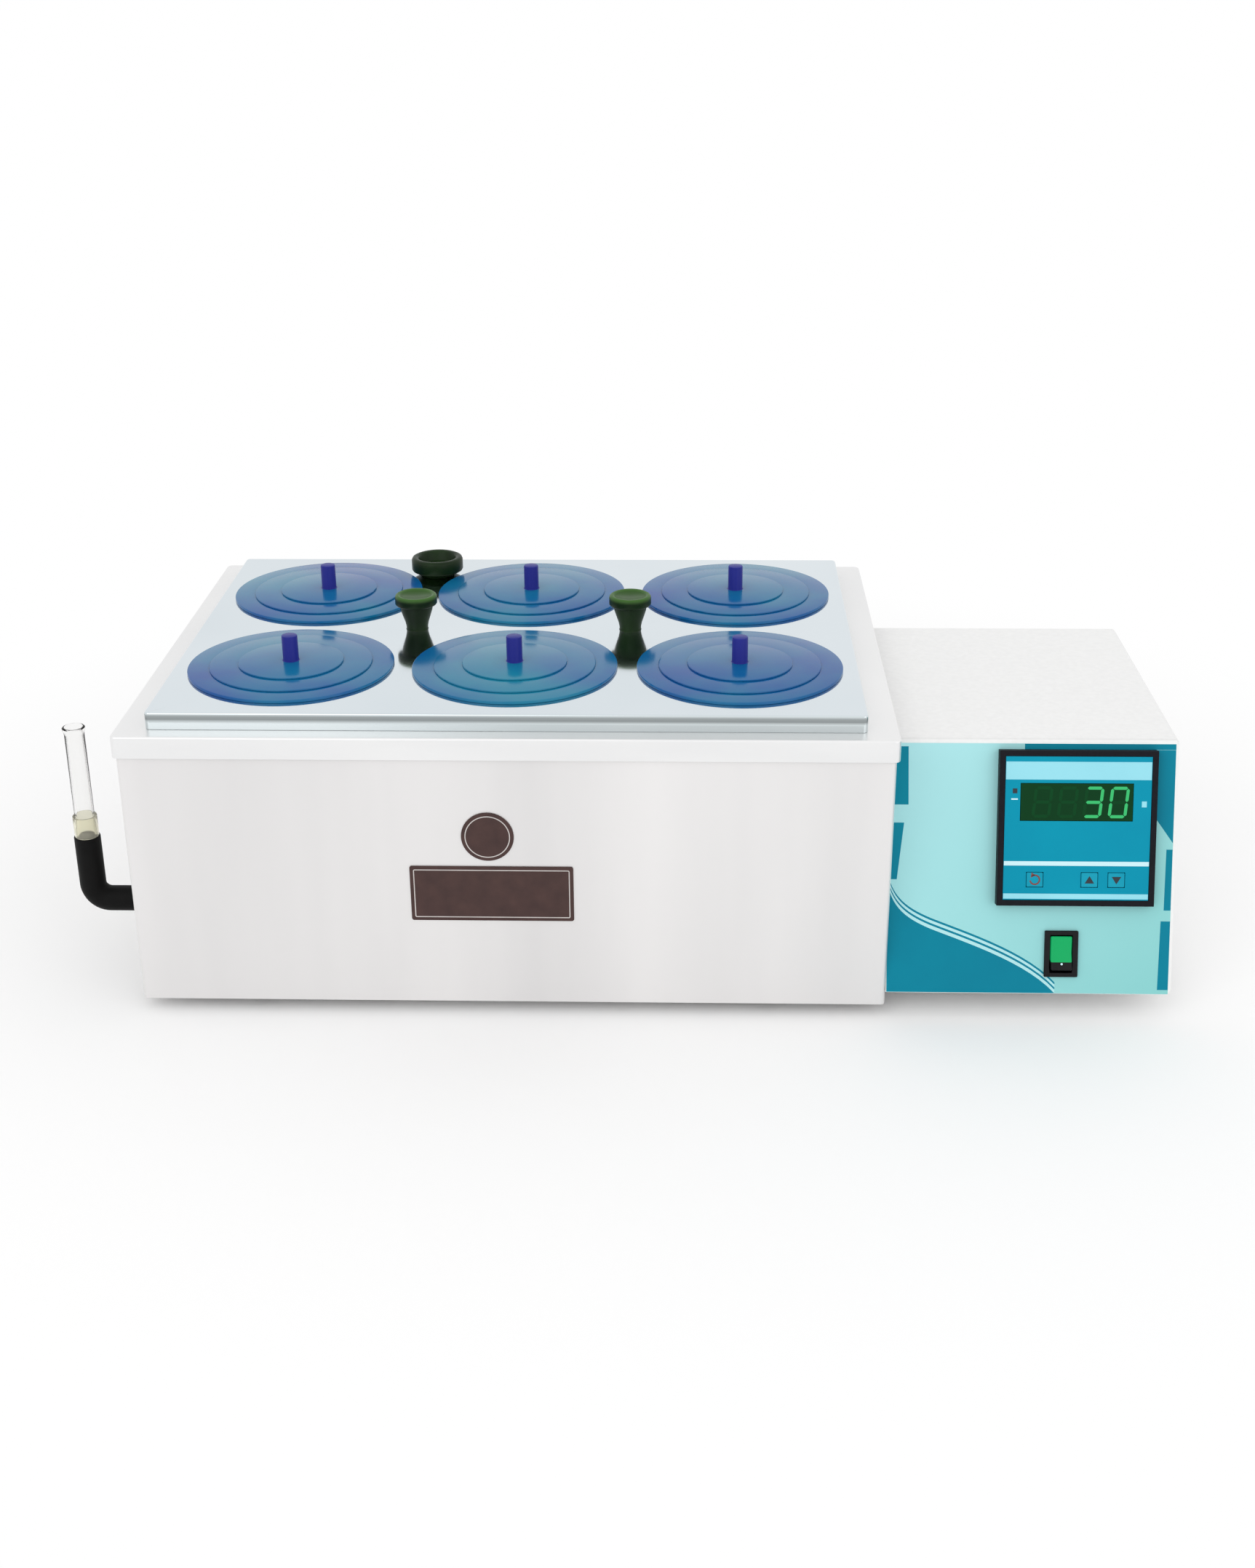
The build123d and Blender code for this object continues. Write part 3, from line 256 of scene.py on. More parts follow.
def screw(name, place, radius, height, axis):
    """A pan-head machine screw with a cross recess, its head standing along axis from place."""
    dome_share = 0.6
    blade_shares = (1.1, 0.24, 0.9)
    bpy.ops.object.select_all(action="DESELECT")
    bpy.ops.mesh.primitive_cylinder_add(
        vertices=24, radius=radius, depth=height, location=(0, 0, height / 2)
    )
    head = bpy.context.object
    bpy.ops.object.transform_apply(location=True, rotation=False, scale=False)
    dome = head.modifiers.new("dome", "BEVEL")
    dome.width = height * dome_share
    dome.segments = 4
    dome.limit_method = "ANGLE"
    bpy.ops.object.modifier_apply(modifier="dome")
    for turn in (0.0, math.pi / 2):
        bpy.ops.mesh.primitive_cube_add(size=1.0, rotation=(0, 0, turn), location=(0, 0, height))
        blade = bpy.context.object
        blade.scale = (radius * blade_shares[0], radius * blade_shares[1], height * blade_shares[2])
        recess = head.modifiers.new("recess", "BOOLEAN")
        recess.object = blade
        recess.operation = "DIFFERENCE"
        bpy.context.view_layer.objects.active = head
        bpy.ops.object.modifier_apply(modifier="recess")
        bpy.data.objects.remove(blade)
    heading = Vector(axis).to_track_quat("Z", "Y").to_matrix().to_4x4()
    head.data.transform(Matrix.Translation(place) @ heading)
    head.select_set(True)
    bpy.ops.object.shade_smooth_by_angle(angle=math.radians(35.0))
    return fit(head, name, "bath", zinc_plate, "plated_steel")


casing_low, casing_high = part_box("outer_casing")
casing_middle = (casing_low.x + casing_high.x) / 2
base_screw_reach = 160 * mm
base_screw_inset = 7.5 * mm
base_screw_radius = 3.6 * mm
base_screw_height = 2.2 * mm
for number, (side, end) in enumerate(((-1, -1), (1, -1), (-1, 1), (1, 1)), start=1):
    place = (
        casing_middle + side * base_screw_reach,
        end * (casing_high.y - base_screw_inset),
        casing_low.z,
    )
    screw(f"base_screw_{number}", place, base_screw_radius, base_screw_height, (0, 0, -1))


# Feet: four turned rubber feet with a rounded tread and a dished middle, pressed into the base.
def turned(centre, profile, sides, caps=True):
    """A piece turned about an upright axis: a circle drawn out through each (radius, height)."""
    bpy.ops.object.select_all(action="DESELECT")
    radius, height = profile[0]
    bpy.ops.mesh.primitive_circle_add(
        vertices=sides,
        radius=radius,
        location=(centre[0], centre[1], height),
        fill_type="NGON" if caps else "NOTHING",
    )
    piece = bpy.context.object
    bpy.ops.object.transform_apply(location=True, rotation=False, scale=False)
    bpy.ops.object.mode_set(mode="EDIT")
    bpy.ops.mesh.select_all(action="SELECT")
    for next_radius, next_height in profile[1:]:
        rise = (0, 0, next_height - height)
        bpy.ops.mesh.extrude_edges_move(TRANSFORM_OT_translate={"value": rise})
        bpy.ops.transform.resize(
            value=(next_radius / radius, next_radius / radius, 1),
            center_override=(centre[0], centre[1], next_height),
        )
        radius = next_radius
        height = next_height
    if caps:
        bpy.ops.mesh.edge_face_add()
    bpy.ops.mesh.select_all(action="SELECT")
    bpy.ops.mesh.remove_doubles(threshold=0.002 * mm)
    bpy.ops.mesh.normals_make_consistent(inside=False)
    bpy.ops.object.mode_set(mode="OBJECT")
    return piece


def smoothed(piece, degrees):
    """Selects a piece alone and shades it smooth across edges shallower than an angle."""
    bpy.ops.object.select_all(action="DESELECT")
    bpy.context.view_layer.objects.active = piece
    piece.select_set(True)
    bpy.ops.object.shade_smooth_by_angle(angle=math.radians(degrees))
    return piece


def rounded(piece, width, segments=3):
    """Rounds a piece's sharp edges and shades it smooth across shallow ones."""
    bpy.context.view_layer.objects.active = piece
    edge = piece.modifiers.new("rounded_edges", "BEVEL")
    edge.width = width
    edge.segments = segments
    edge.limit_method = "ANGLE"
    edge.angle_limit = math.radians(35.0)
    bpy.ops.object.modifier_apply(modifier="rounded_edges")
    return smoothed(piece, 40.0)


foot_rubber = surface(
    "moulded_foot_rubber",
    (0.035, 0.035, 0.036),
    (0.02, 0.02, 0.021),
    (220, 220, 220),
    (0.6, 0.8),
    0.15,
)
foot_low, foot_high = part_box("rubber_feet")
foot_radius = 13 * mm
foot_profile = [
    (7.0 * mm, 1.2 * mm),
    (8.2 * mm, 0.0),
    (11.0 * mm, 0.0),
    (foot_radius, foot_high.z),
    (5.0 * mm, foot_high.z),
]
foot_places = [
    (x, y)
    for x in (foot_low.x + foot_radius, foot_high.x - foot_radius)
    for y in (foot_low.y + foot_radius, foot_high.y - foot_radius)
]
for number, place in enumerate(foot_places, start=1):
    foot = rounded(turned(place, foot_profile, 40), 0.5 * mm)
    fit(foot, f"rubber_foot_{number}", "bath", foot_rubber, "foot_rubber", "rubber_feet")


# Plates: two thin brown-enamelled steel plates on the front, left bare, each with a raised
# bright border.
plate_low, plate_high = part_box("name_plate")
enamel = surface(
    "brown_enamel",
    (0.070, 0.036, 0.032),
    (0.050, 0.026, 0.024),
    (90, 90, 90),
    (0.4, 0.5),
    sockets={"Specular IOR Level": 0.25},
)
eased("name_plate", 0.25 * mm, "enamel_plates", "bath", enamel, "plate_brown")
border_light = surface(
    "plate_border", (0.62, 0.58, 0.56), (0.5, 0.47, 0.45), (60, 60, 60), (0.3, 0.4)
)


def flat_frame(width, height, line, thickness, corner=0.0, sides_of_round=0):
    """A thin raised outline, flat at the origin: a rectangle with eased corners, or a ring."""
    bpy.ops.object.select_all(action="DESELECT")
    if sides_of_round:
        bpy.ops.mesh.primitive_circle_add(
            vertices=sides_of_round, radius=width / 2, fill_type="NGON"
        )
    else:
        bpy.ops.mesh.primitive_plane_add(size=1.0)
        bpy.context.object.scale = (width, height, 1.0)
        bpy.ops.object.transform_apply(location=False, rotation=False, scale=True)
    piece = bpy.context.object
    bpy.ops.object.mode_set(mode="EDIT")
    bpy.ops.mesh.select_all(action="SELECT")
    if corner:
        bpy.ops.mesh.bevel(offset=corner, segments=4, affect="VERTICES")
        bpy.ops.mesh.select_all(action="SELECT")
    bpy.ops.mesh.inset(thickness=line)
    bpy.ops.mesh.delete(type="FACE")
    bpy.ops.mesh.select_all(action="SELECT")
    bpy.ops.mesh.extrude_region_move(TRANSFORM_OT_translate={"value": (0, 0, thickness)})
    bpy.ops.mesh.select_all(action="SELECT")
    bpy.ops.mesh.normals_make_consistent(inside=False)
    bpy.ops.object.mode_set(mode="OBJECT")
    return piece


front_face = Matrix.Rotation(math.radians(90.0), 4, "X")
plate_inset = 2.2 * mm
border_line = 0.6 * mm
border_rise = 0.06 * mm
wide_height = 37 * mm
badge_radius = 16 * mm
badge_shift = 1.6 * mm
wide_centre = ((plate_low.x + plate_high.x) / 2, plate_low.y, plate_low.z + wide_height / 2)
badge_centre = (wide_centre[0] - badge_shift, plate_low.y, plate_high.z - badge_radius)
wide_border = flat_frame(
    plate_high.x - plate_low.x - 2 * plate_inset,
    wide_height - 2 * plate_inset,
    border_line,
    border_rise,
    corner=1.0 * mm,
)
badge_width = 2 * (badge_radius - plate_inset)
badge_border = flat_frame(badge_width, badge_width, border_line, border_rise, sides_of_round=64)
for border, name, centre in (
    (wide_border, "wide_plate_border", wide_centre),
    (badge_border, "round_plate_border", badge_centre),
):
    border.data.transform(Matrix.Translation(centre) @ front_face)
    fit(border, name, "bath", border_light, "plate_brown")


# Tank: a welded pan of satin stainless sheet with its rim folded down over the casing. A slotted
# shelf stands in it on two bent sides, and mineral wool lies round it.
tank_sheet = surface(
    "satin_stainless_pan",
    (0.85, 0.85, 0.85),
    (0.78, 0.78, 0.785),
    (5, 5, 30),
    (0.25, 0.35),
    sockets={"Metallic": 0.7},
)
eased("inner_tank", 0.5 * mm, "tank_pan", "bath", tank_sheet, "tank_steel")
shelf_sheet = surface(
    "perforated_shelf_sheet",
    (0.74, 0.75, 0.76),
    (0.66, 0.67, 0.68),
    (60, 4, 4),
    (0.28, 0.4),
    sockets={"Metallic": 1.0},
)
eased("tank_shelf", 0.25 * mm, "slotted_shelf", "bath", shelf_sheet, "tank_steel")
eased("shelf_legs", 0.25 * mm, "shelf_sides", "bath", shelf_sheet, "tank_steel")
wool = surface(
    "mineral_wool", (0.62, 0.56, 0.38), (0.45, 0.40, 0.26), (90, 90, 400), (0.9, 1.0), 0.8, 1.0 * mm
)
dress("insulation_batts", wool)


# Heater and probe: a bent tubular element and a plain sheath, both through brass bushes with nuts.
# The level gauge's brass nipple goes through the wall in the same way.
sheath = surface(
    "heater_sheath",
    (0.42, 0.41, 0.38),
    (0.28, 0.26, 0.24),
    (25, 60, 60),
    (0.35, 0.55),
    0.1,
    sockets={"Metallic": 1.0},
)
dress("heating_element", sheath)
dress("temperature_probe", tank_sheet)
brass = surface(
    "turned_brass",
    (0.78, 0.60, 0.28),
    (0.66, 0.48, 0.20),
    (160, 30, 30),
    (0.22, 0.35),
    0.08,
    sockets={"Metallic": 1.0},
)
eased("tank_glands", 0.3 * mm, "gland_bushes", "bath", brass, "brass")
eased("gland_nuts", 0.3 * mm, "gland_hexagon_nuts", "bath", brass, "brass")
eased("outlet_nipple", 0.2 * mm, "gauge_nipple", "bath", brass, "brass")
eased("nipple_locknut", 0.3 * mm, "gauge_nipple_nut", "bath", brass, "brass")


# Level gauge: a black rubber elbow pushed on the nipple, bent like a short hose, with the glass
# tube standing in it and a clear sleeve round the tube's foot.
elbow_low, elbow_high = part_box("level_elbow")
glass_low, glass_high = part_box("sight_glass")
collar_low, collar_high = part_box("gauge_collar")
hose_radius = 8.25 * mm
tube_x = (glass_low.x + glass_high.x) / 2
gauge_y = (glass_low.y + glass_high.y) / 2
gauge_z = elbow_low.z + hose_radius
hose_thickness = 1.8 * mm
hose_bend = 11 * mm
bend_handle = 0.552 * hose_bend
straight_handle = 4 * mm
hose = bpy.data.curves.new("elbow_line", "CURVE")
hose.dimensions = "3D"
hose_line = hose.splines.new("BEZIER")
hose_line.bezier_points.add(3)
hose_stops = [
    ((elbow_high.x, gauge_y, gauge_z), (1, 0, 0), straight_handle),
    ((tube_x + hose_bend, gauge_y, gauge_z), (1, 0, 0), bend_handle),
    ((tube_x, gauge_y, gauge_z + hose_bend), (0, 0, 1), -bend_handle),
    ((tube_x, gauge_y, elbow_high.z), (0, 0, 1), -straight_handle),
]
for point, (place, direction, reach) in zip(hose_line.bezier_points, hose_stops):
    point.co = place
    point.handle_left = Vector(place) + Vector(direction) * reach
    point.handle_right = Vector(place) - Vector(direction) * reach
hose_line.resolution_u = 12
hose.bevel_depth = hose_radius
hose.bevel_resolution = 8
hose_object = bpy.data.objects.new("elbow_line", hose)
bpy.context.scene.collection.objects.link(hose_object)
bpy.context.view_layer.objects.active = hose_object
hose_object.select_set(True)
bpy.ops.object.convert(target="MESH")
elbow = bpy.context.object
wall = elbow.modifiers.new("hose_wall", "SOLIDIFY")
wall.thickness = hose_thickness
wall.offset = -1.0
bpy.ops.object.modifier_apply(modifier="hose_wall")
rounded(elbow, 0.5 * mm, 2)
elbow_rubber = surface(
    "elbow_rubber",
    (0.004, 0.004, 0.004),
    (0.002, 0.002, 0.002),
    (160, 160, 160),
    (0.5, 0.65),
    0.1,
    sockets={"Specular IOR Level": 0.12},
)
fit(elbow, "rubber_elbow", "level_gauge", elbow_rubber, "elbow_rubber", "level_elbow")

glass_radius = 6.25 * mm
glass_wall = 1.1 * mm
bore = glass_radius - glass_wall
glass_lip = glass_high.x - tube_x
tube_profile = [
    (bore, glass_low.z),
    (glass_radius, glass_low.z),
    (glass_radius, glass_high.z - 5 * mm),
    (glass_radius + 0.2 * mm, glass_high.z - 3.6 * mm),
    (glass_lip, glass_high.z - 1.8 * mm),
    (glass_lip, glass_high.z - 0.6 * mm),
    (glass_lip - 0.7 * mm, glass_high.z),
    (bore + 0.6 * mm, glass_high.z),
    (bore, glass_high.z - 1.0 * mm),
    (bore, glass_low.z),
]


def clear(name, colour, roughness, transmission, ior):
    """A see-through glass or plastic."""
    material = bpy.data.materials.new(name)
    material.use_nodes = True
    shader = material.node_tree.nodes["Principled BSDF"]
    shader.inputs["Base Color"].default_value = (*colour, 1.0)
    shader.inputs["Roughness"].default_value = roughness
    shader.inputs["Transmission Weight"].default_value = transmission
    shader.inputs["IOR"].default_value = ior
    return material


gauge_glass = clear("clear_gauge_glass", (0.99, 0.99, 0.985), 0.03, 1.0, 1.25)
tube = smoothed(turned((tube_x, gauge_y), tube_profile, 48, caps=False), 35.0)
fit(tube, "gauge_glass", "level_gauge", gauge_glass, "clear_glass", "sight_glass")

sleeve_glass = clear("yellowed_clear_sleeve", (0.98, 0.96, 0.82), 0.12, 0.85, 1.2)
sleeve_bore = 6.35 * mm
sleeve_radius = collar_high.x - tube_x
sleeve_profile = [
    (sleeve_bore, collar_low.z),
    (sleeve_radius, collar_low.z),
    (sleeve_radius, collar_high.z),
    (sleeve_bore, collar_high.z),
    (sleeve_bore, collar_low.z),
]
sleeve = rounded(turned((tube_x, gauge_y), sleeve_profile, 40, caps=False), 0.3 * mm)
fit(sleeve, "gauge_sleeve", "level_gauge", sleeve_glass, "collar_plastic", "gauge_collar")


# Cover: a shallow tray of mirror-polished stainless, in which the knobs and lids show upside
# down. Its edges are turned down, and a painted dark reflection line runs along them under the top.
mirror_sheet = surface(
    "polished_cover_sheet",
    (0.72, 0.775, 0.81),
    (0.64, 0.705, 0.745),
    (4, 4, 4),
    (0.07, 0.12),
    sockets={"Metallic": 1.0},
)


def by_height(material, low, high):
    """Adds a value rising from 0 to 1 between two heights; returns tree, shader and value."""
    tree = material.node_tree
    place = tree.nodes.new("ShaderNodeTexCoord")
    split = tree.nodes.new("ShaderNodeSeparateXYZ")
    rise = tree.nodes.new("ShaderNodeMapRange")
    rise.inputs["From Min"].default_value = low
    rise.inputs["From Max"].default_value = high
    tree.links.new(place.outputs["Object"], split.inputs["Vector"])
    tree.links.new(split.outputs["Z"], rise.inputs["Value"])
    return tree, tree.nodes["Principled BSDF"], rise.outputs["Result"]


cover_low, cover_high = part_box("top_cover")
mirror_tree, mirror_shader, skirt_reflection_height = by_height(mirror_sheet, cover_low.z, cover_high.z)
mirror_shades = mirror_shader.inputs["Base Color"].links[0].from_socket
# Painted reflection: by height, the skirt is darkened slightly, with a dark line just under its top
# edge.
skirt_painted_reflection = mirror_tree.nodes.new("ShaderNodeValToRGB")
for position, shade in ((0.0, 0.90), (0.45, 0.95), (0.62, 0.42), (0.80, 0.50), (0.93, 1.0)):
    stop = skirt_painted_reflection.color_ramp.elements.new(position)
    stop.color = (shade, shade, shade * 0.97, 1.0)
skirt_painted_reflection.color_ramp.elements.remove(skirt_painted_reflection.color_ramp.elements[0])
skirt_painted_reflection_mix = mirror_tree.nodes.new("ShaderNodeMix")
skirt_painted_reflection_mix.data_type = "RGBA"
skirt_painted_reflection_mix.blend_type = "MULTIPLY"
skirt_painted_reflection_mix.inputs["Factor"].default_value = 1.0
mirror_tree.links.new(skirt_reflection_height, skirt_painted_reflection.inputs["Fac"])
mirror_tree.links.new(mirror_shades, skirt_painted_reflection_mix.inputs["A"])
mirror_tree.links.new(skirt_painted_reflection.outputs["Color"], skirt_painted_reflection_mix.inputs["B"])
mirror_tree.links.new(skirt_painted_reflection_mix.outputs["Result"], mirror_shader.inputs["Base Color"])
eased("top_cover", 0.4 * mm, "cover_tray", "cover", mirror_sheet, "cover_steel")


# Knobs and cup: turned dark-green phenolic. The knobs flare to a collared rim, painted paler green
# round its top as highlight, and the cup is a thick-walled bowl for a thermometer, held by a nut
# below.
phenolic = surface(
    "dark_green_phenolic",
    (0.009, 0.028, 0.005),
    (0.004, 0.012, 0.003),
    (60, 60, 25),
    (0.3, 0.45),
    sockets={"Specular IOR Level": 0.16},
)
knob_low, knob_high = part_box("cover_knobs")
# Painted highlight: above a height just under the knobs' tops, the phenolic is mixed to a paler
# green.
highlight_low = knob_high.z - 2.8 * mm
highlight_high = knob_high.z - 0.4 * mm
phenolic_tree, phenolic_shader, rim_highlight = by_height(phenolic, highlight_low, highlight_high)
phenolic_shades = phenolic_shader.inputs["Base Color"].links[0].from_socket
rim_highlight_mix = phenolic_tree.nodes.new("ShaderNodeMix")
rim_highlight_mix.data_type = "RGBA"
rim_highlight_mix.inputs["B"].default_value = (0.045, 0.125, 0.022, 1.0)
phenolic_tree.links.new(rim_highlight, rim_highlight_mix.inputs["Factor"])
phenolic_tree.links.new(phenolic_shades, rim_highlight_mix.inputs["A"])
phenolic_tree.links.new(rim_highlight_mix.outputs["Result"], phenolic_shader.inputs["Base Color"])
knob_rim = 13.8 * mm
knob_rise = knob_high.z - knob_low.z
knob_brim = 7.0 * mm
knob_profile = [
    (7.4 * mm, knob_low.z),
    (7.1 * mm, knob_low.z + 0.6 * mm),
    (7.2 * mm, knob_low.z + 0.10 * knob_rise),
    (7.8 * mm, knob_low.z + 0.22 * knob_rise),
    (9.1 * mm, knob_low.z + 0.38 * knob_rise),
    (10.4 * mm, knob_low.z + 0.55 * knob_rise),
    (11.1 * mm, knob_high.z - knob_brim - 0.4 * mm),
    (11.9 * mm, knob_high.z - knob_brim),
    (13.3 * mm, knob_high.z - knob_brim + 0.3 * mm),
    (knob_rim, knob_high.z - knob_brim + 1.0 * mm),
    (knob_rim, knob_high.z - 1.8 * mm),
    (13.4 * mm, knob_high.z - 0.7 * mm),
    (12.4 * mm, knob_high.z),
    (10.9 * mm, knob_high.z - 0.2 * mm),
    (10.0 * mm, knob_high.z - 1.2 * mm),
    (0.5 * mm, knob_high.z - 1.6 * mm),
]
knob_y = (knob_low.y + knob_high.y) / 2
for number, x in enumerate((knob_low.x + knob_rim, knob_high.x - knob_rim), start=1):
    knob = smoothed(turned((x, knob_y), knob_profile, 56), 50.0)
    fit(knob, f"cover_knob_{number}", "cover", phenolic, "knob_green", "cover_knobs")

cup_low, cup_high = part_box("thermometer_cup")
cup_x = (cup_low.x + cup_high.x) / 2
cup_y = (cup_low.y + cup_high.y) / 2
cup_foot = knob_low.z
cup_rim = cup_high.x - cup_x
cup_bore = 4.2 * mm
cup_brim = 10.0 * mm
stem_radius = 6.0 * mm
cup_profile = [
    (cup_bore, cup_low.z),
    (stem_radius, cup_low.z),
    (stem_radius, cup_foot),
    (11.6 * mm, cup_foot),
    (12.2 * mm, cup_foot + 0.4 * mm),
    (16.6 * mm, cup_high.z - cup_brim - 0.2 * mm),
    (17.7 * mm, cup_high.z - cup_brim + 0.3 * mm),
    (cup_rim, cup_high.z - cup_brim + 1.2 * mm),
    (cup_rim, cup_high.z - 2.2 * mm),
    (cup_rim - 0.7 * mm, cup_high.z - 0.7 * mm),
    (cup_rim - 2.2 * mm, cup_high.z),
    (cup_rim - 4.2 * mm, cup_high.z - 0.3 * mm),
    (cup_rim - 5.3 * mm, cup_high.z - 1.4 * mm),
    (cup_rim - 5.9 * mm, cup_foot + 7.4 * mm),
    (cup_rim - 6.8 * mm, cup_foot + 6.6 * mm),
    (cup_bore, cup_foot + 6.5 * mm),
    (cup_bore, cup_low.z),
]
cup = smoothed(turned((cup_x, cup_y), cup_profile, 64, caps=False), 50.0)
fit(cup, "thermometer_cup", "cover", phenolic, "knob_green", "thermometer_cup")
eased("cup_locknut", 0.3 * mm, "cup_nut", "cover", phenolic, "knob_green")


# Ring lids: blue polished plastic, turned so that each lies on the next. Rings and lids have an
# eased edge and a hanging spigot, and the centre lid carries a plain round peg.
lid_plastic = surface(
    "polished_blue_plastic",
    (0.008, 0.215, 0.325),
    (0.001, 0.050, 0.290),
    (9, 9, 9),
    (0.12, 0.20),
    sockets={"Specular IOR Level": 0.3},
)
peg_plastic = surface(
    "dark_blue_peg",
    (0.016, 0.024, 0.26),
    (0.010, 0.016, 0.22),
    (30, 30, 30),
    (0.3, 0.4),
    sockets={"Specular IOR Level": 0.2},
)
play = 0.5 * mm
spigot_end = cup_foot - 4 * mm
hole_radius = 60 * mm


def ring_profile(bore_radius, spigot_radius, flange_radius, seat, top):
    """Half-section of a lid ring: its spigot, its flange with an eased edge, and its bore."""
    return [
        (bore_radius, spigot_end),
        (spigot_radius, spigot_end),
        (spigot_radius, seat),
        (flange_radius - 0.3 * mm, seat),
        (flange_radius, seat + 0.3 * mm),
        (flange_radius, top - 0.5 * mm),
        (flange_radius - 0.2 * mm, top - 0.15 * mm),
        (flange_radius - 0.7 * mm, top),
        (bore_radius + 0.5 * mm, top),
        (bore_radius, top - 0.4 * mm),
        (bore_radius, spigot_end),
    ]


def lid_copy(master, name, body, material, place, *nodes):
    """A copy of a turned lid piece with a mesh of its own, set over one of the six places."""
    piece = bpy.data.objects.new(name, master.data.copy())
    bpy.context.scene.collection.objects.link(piece)
    piece.data.transform(Matrix.Translation((place[0], place[1], 0)))
    return fit(piece, name, body, material, "lid_blue", *nodes)


outer_low, outer_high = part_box("outer_ring_1")
middle_low, middle_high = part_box("middle_ring_1")
centre_low, centre_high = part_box("centre_lid_1")
outer_radius = (outer_high.x - outer_low.x) / 2
middle_radius = (middle_high.x - middle_low.x) / 2
centre_radius = (centre_high.x - centre_low.x) / 2
outer_bore = 46.5 * mm
middle_bore = 28.5 * mm
lid_top = middle_high.z + 1.2 * mm
peg_radius = 5.0 * mm
outer_profile = ring_profile(
    outer_bore, hole_radius - play, outer_radius, cup_foot, outer_high.z
)
middle_profile = ring_profile(
    middle_bore, outer_bore - play, middle_radius, outer_high.z, middle_high.z
)
centre_profile = [
    (middle_bore - play, spigot_end),
    (middle_bore - play, middle_high.z),
    (centre_radius - 0.2 * mm, middle_high.z),
    (centre_radius, middle_high.z + 0.2 * mm),
    (centre_radius, lid_top - 0.4 * mm),
    (centre_radius - 0.2 * mm, lid_top - 0.1 * mm),
    (centre_radius - 0.6 * mm, lid_top),
    (peg_radius, lid_top),
]
peg_profile = [
    (peg_radius + 0.6 * mm, lid_top),
    (peg_radius + 0.15 * mm, lid_top + 0.15 * mm),
    (peg_radius, lid_top + 0.6 * mm),
    (peg_radius, centre_high.z - 0.7 * mm),
    (peg_radius - 0.2 * mm, centre_high.z - 0.2 * mm),
    (peg_radius - 0.7 * mm, centre_high.z),
]
masters = {
    "outer_ring": turned((0, 0), outer_profile, 128, caps=False),
    "middle_ring": turned((0, 0), middle_profile, 112, caps=False),
    "centre_lid": turned((0, 0), centre_profile, 96),
    "peg": turned((0, 0), peg_profile, 40),
}
for master in masters.values():
    smoothed(master, 30.0)
for number in range(1, 7):
    low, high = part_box(f"outer_ring_{number}")
    place = ((low.x + high.x) / 2, (low.y + high.y) / 2)
    for kind in ("outer_ring", "middle_ring", "centre_lid"):
        node = f"{kind}_{number}"
        lid_copy(masters[kind], f"{kind}_turned_{number}", node, lid_plastic, place, node)
    lid_copy(masters["peg"], f"lid_peg_{number}", f"centre_lid_{number}", peg_plastic, place)
for master in masters.values():
    bpy.data.objects.remove(master)


# Control box: a folded, white-enamelled steel box whose front leans back. The aluminium panel
# lies in its front and a louvred plate closes its back.
white_enamel = surface(
    "white_enamel",
    (0.88, 0.88, 0.875),
    (0.84, 0.84, 0.835),
    (300, 300, 300),
    (0.35, 0.45),
    0.06,
    sockets={"Specular IOR Level": 0.3},
)
eased("control_housing", 0.5 * mm, "enamelled_box", "bath", white_enamel, "white_paint")
eased("back_panel", 0.25 * mm, "louvred_back", "bath", white_enamel, "white_paint")
panel_metal = surface(
    "panel_aluminium",
    (0.75, 0.76, 0.77),
    (0.66, 0.67, 0.68),
    (3, 200, 200),
    (0.25, 0.4),
    sockets={"Metallic": 1.0},
)
dress("front_panel", panel_metal)
dress("heat_sink", panel_metal)
inlet_plastic = surface(
    "inlet_plastic",
    (0.045, 0.045, 0.047),
    (0.03, 0.03, 0.032),
    (250, 250, 250),
    (0.4, 0.55),
    0.1,
)
eased("mains_inlet", 0.3 * mm, "appliance_inlet", "bath", inlet_plastic, "socket_plastic")
dress("solid_state_relay", inlet_plastic)
strip_plastic = surface(
    "terminal_strip", (0.22, 0.13, 0.06), (0.17, 0.10, 0.05), (80, 80, 80), (0.3, 0.45)
)
dress("terminal_block", strip_plastic)
back_low, back_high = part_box("back_panel")
back_screw_inset = 4.5 * mm
back_screw_radius = 2.9 * mm
back_screw_height = 2.0 * mm
back_screw_places = [
    (x, back_high.y, z)
    for x in (back_low.x + back_screw_inset, back_high.x - back_screw_inset)
    for z in (back_low.z + back_screw_inset, back_high.z - back_screw_inset)
]
for number, place in enumerate(back_screw_places, start=1):
    screw(f"back_screw_{number}", place, back_screw_radius, back_screw_height, (0, 1, 0))


# Panel print: a plastic film over the whole panel, pale teal and paler to its upper left corner,
# with plain darker fields printed on it.
box_low, box_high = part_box("control_housing")
recline = math.radians(16.8)
panel = Matrix(
    (
        (1.0, 0.0, 0.0, box_low.x),
        (0.0, math.sin(recline), -math.cos(recline), box_low.y),
        (0.0, math.cos(recline), math.sin(recline), box_low.z),
        (0.0, 0.0, 0.0, 1.0),
    )
)
film = bpy.data.materials.new("pale_teal_film")
film.use_nodes = True
film_tree = film.node_tree
film_shader = film_tree.nodes["Principled BSDF"]
film_place = film_tree.nodes.new("ShaderNodeTexCoord")
film_turn = film_tree.nodes.new("ShaderNodeMapping")
film_slope = math.sqrt(2) / (box_high.x - box_low.x + box_high.z - box_low.z)
film_turn.inputs["Scale"].default_value = (-film_slope, 1.0, film_slope)
film_turn.inputs["Rotation"].default_value = (0.0, math.radians(45.0), 0.0)
film_start = film_slope * (box_high.x - box_low.z) / math.sqrt(2)
film_turn.inputs["Location"].default_value = (film_start, 0.0, 0.0)
film_fade = film_tree.nodes.new("ShaderNodeTexGradient")
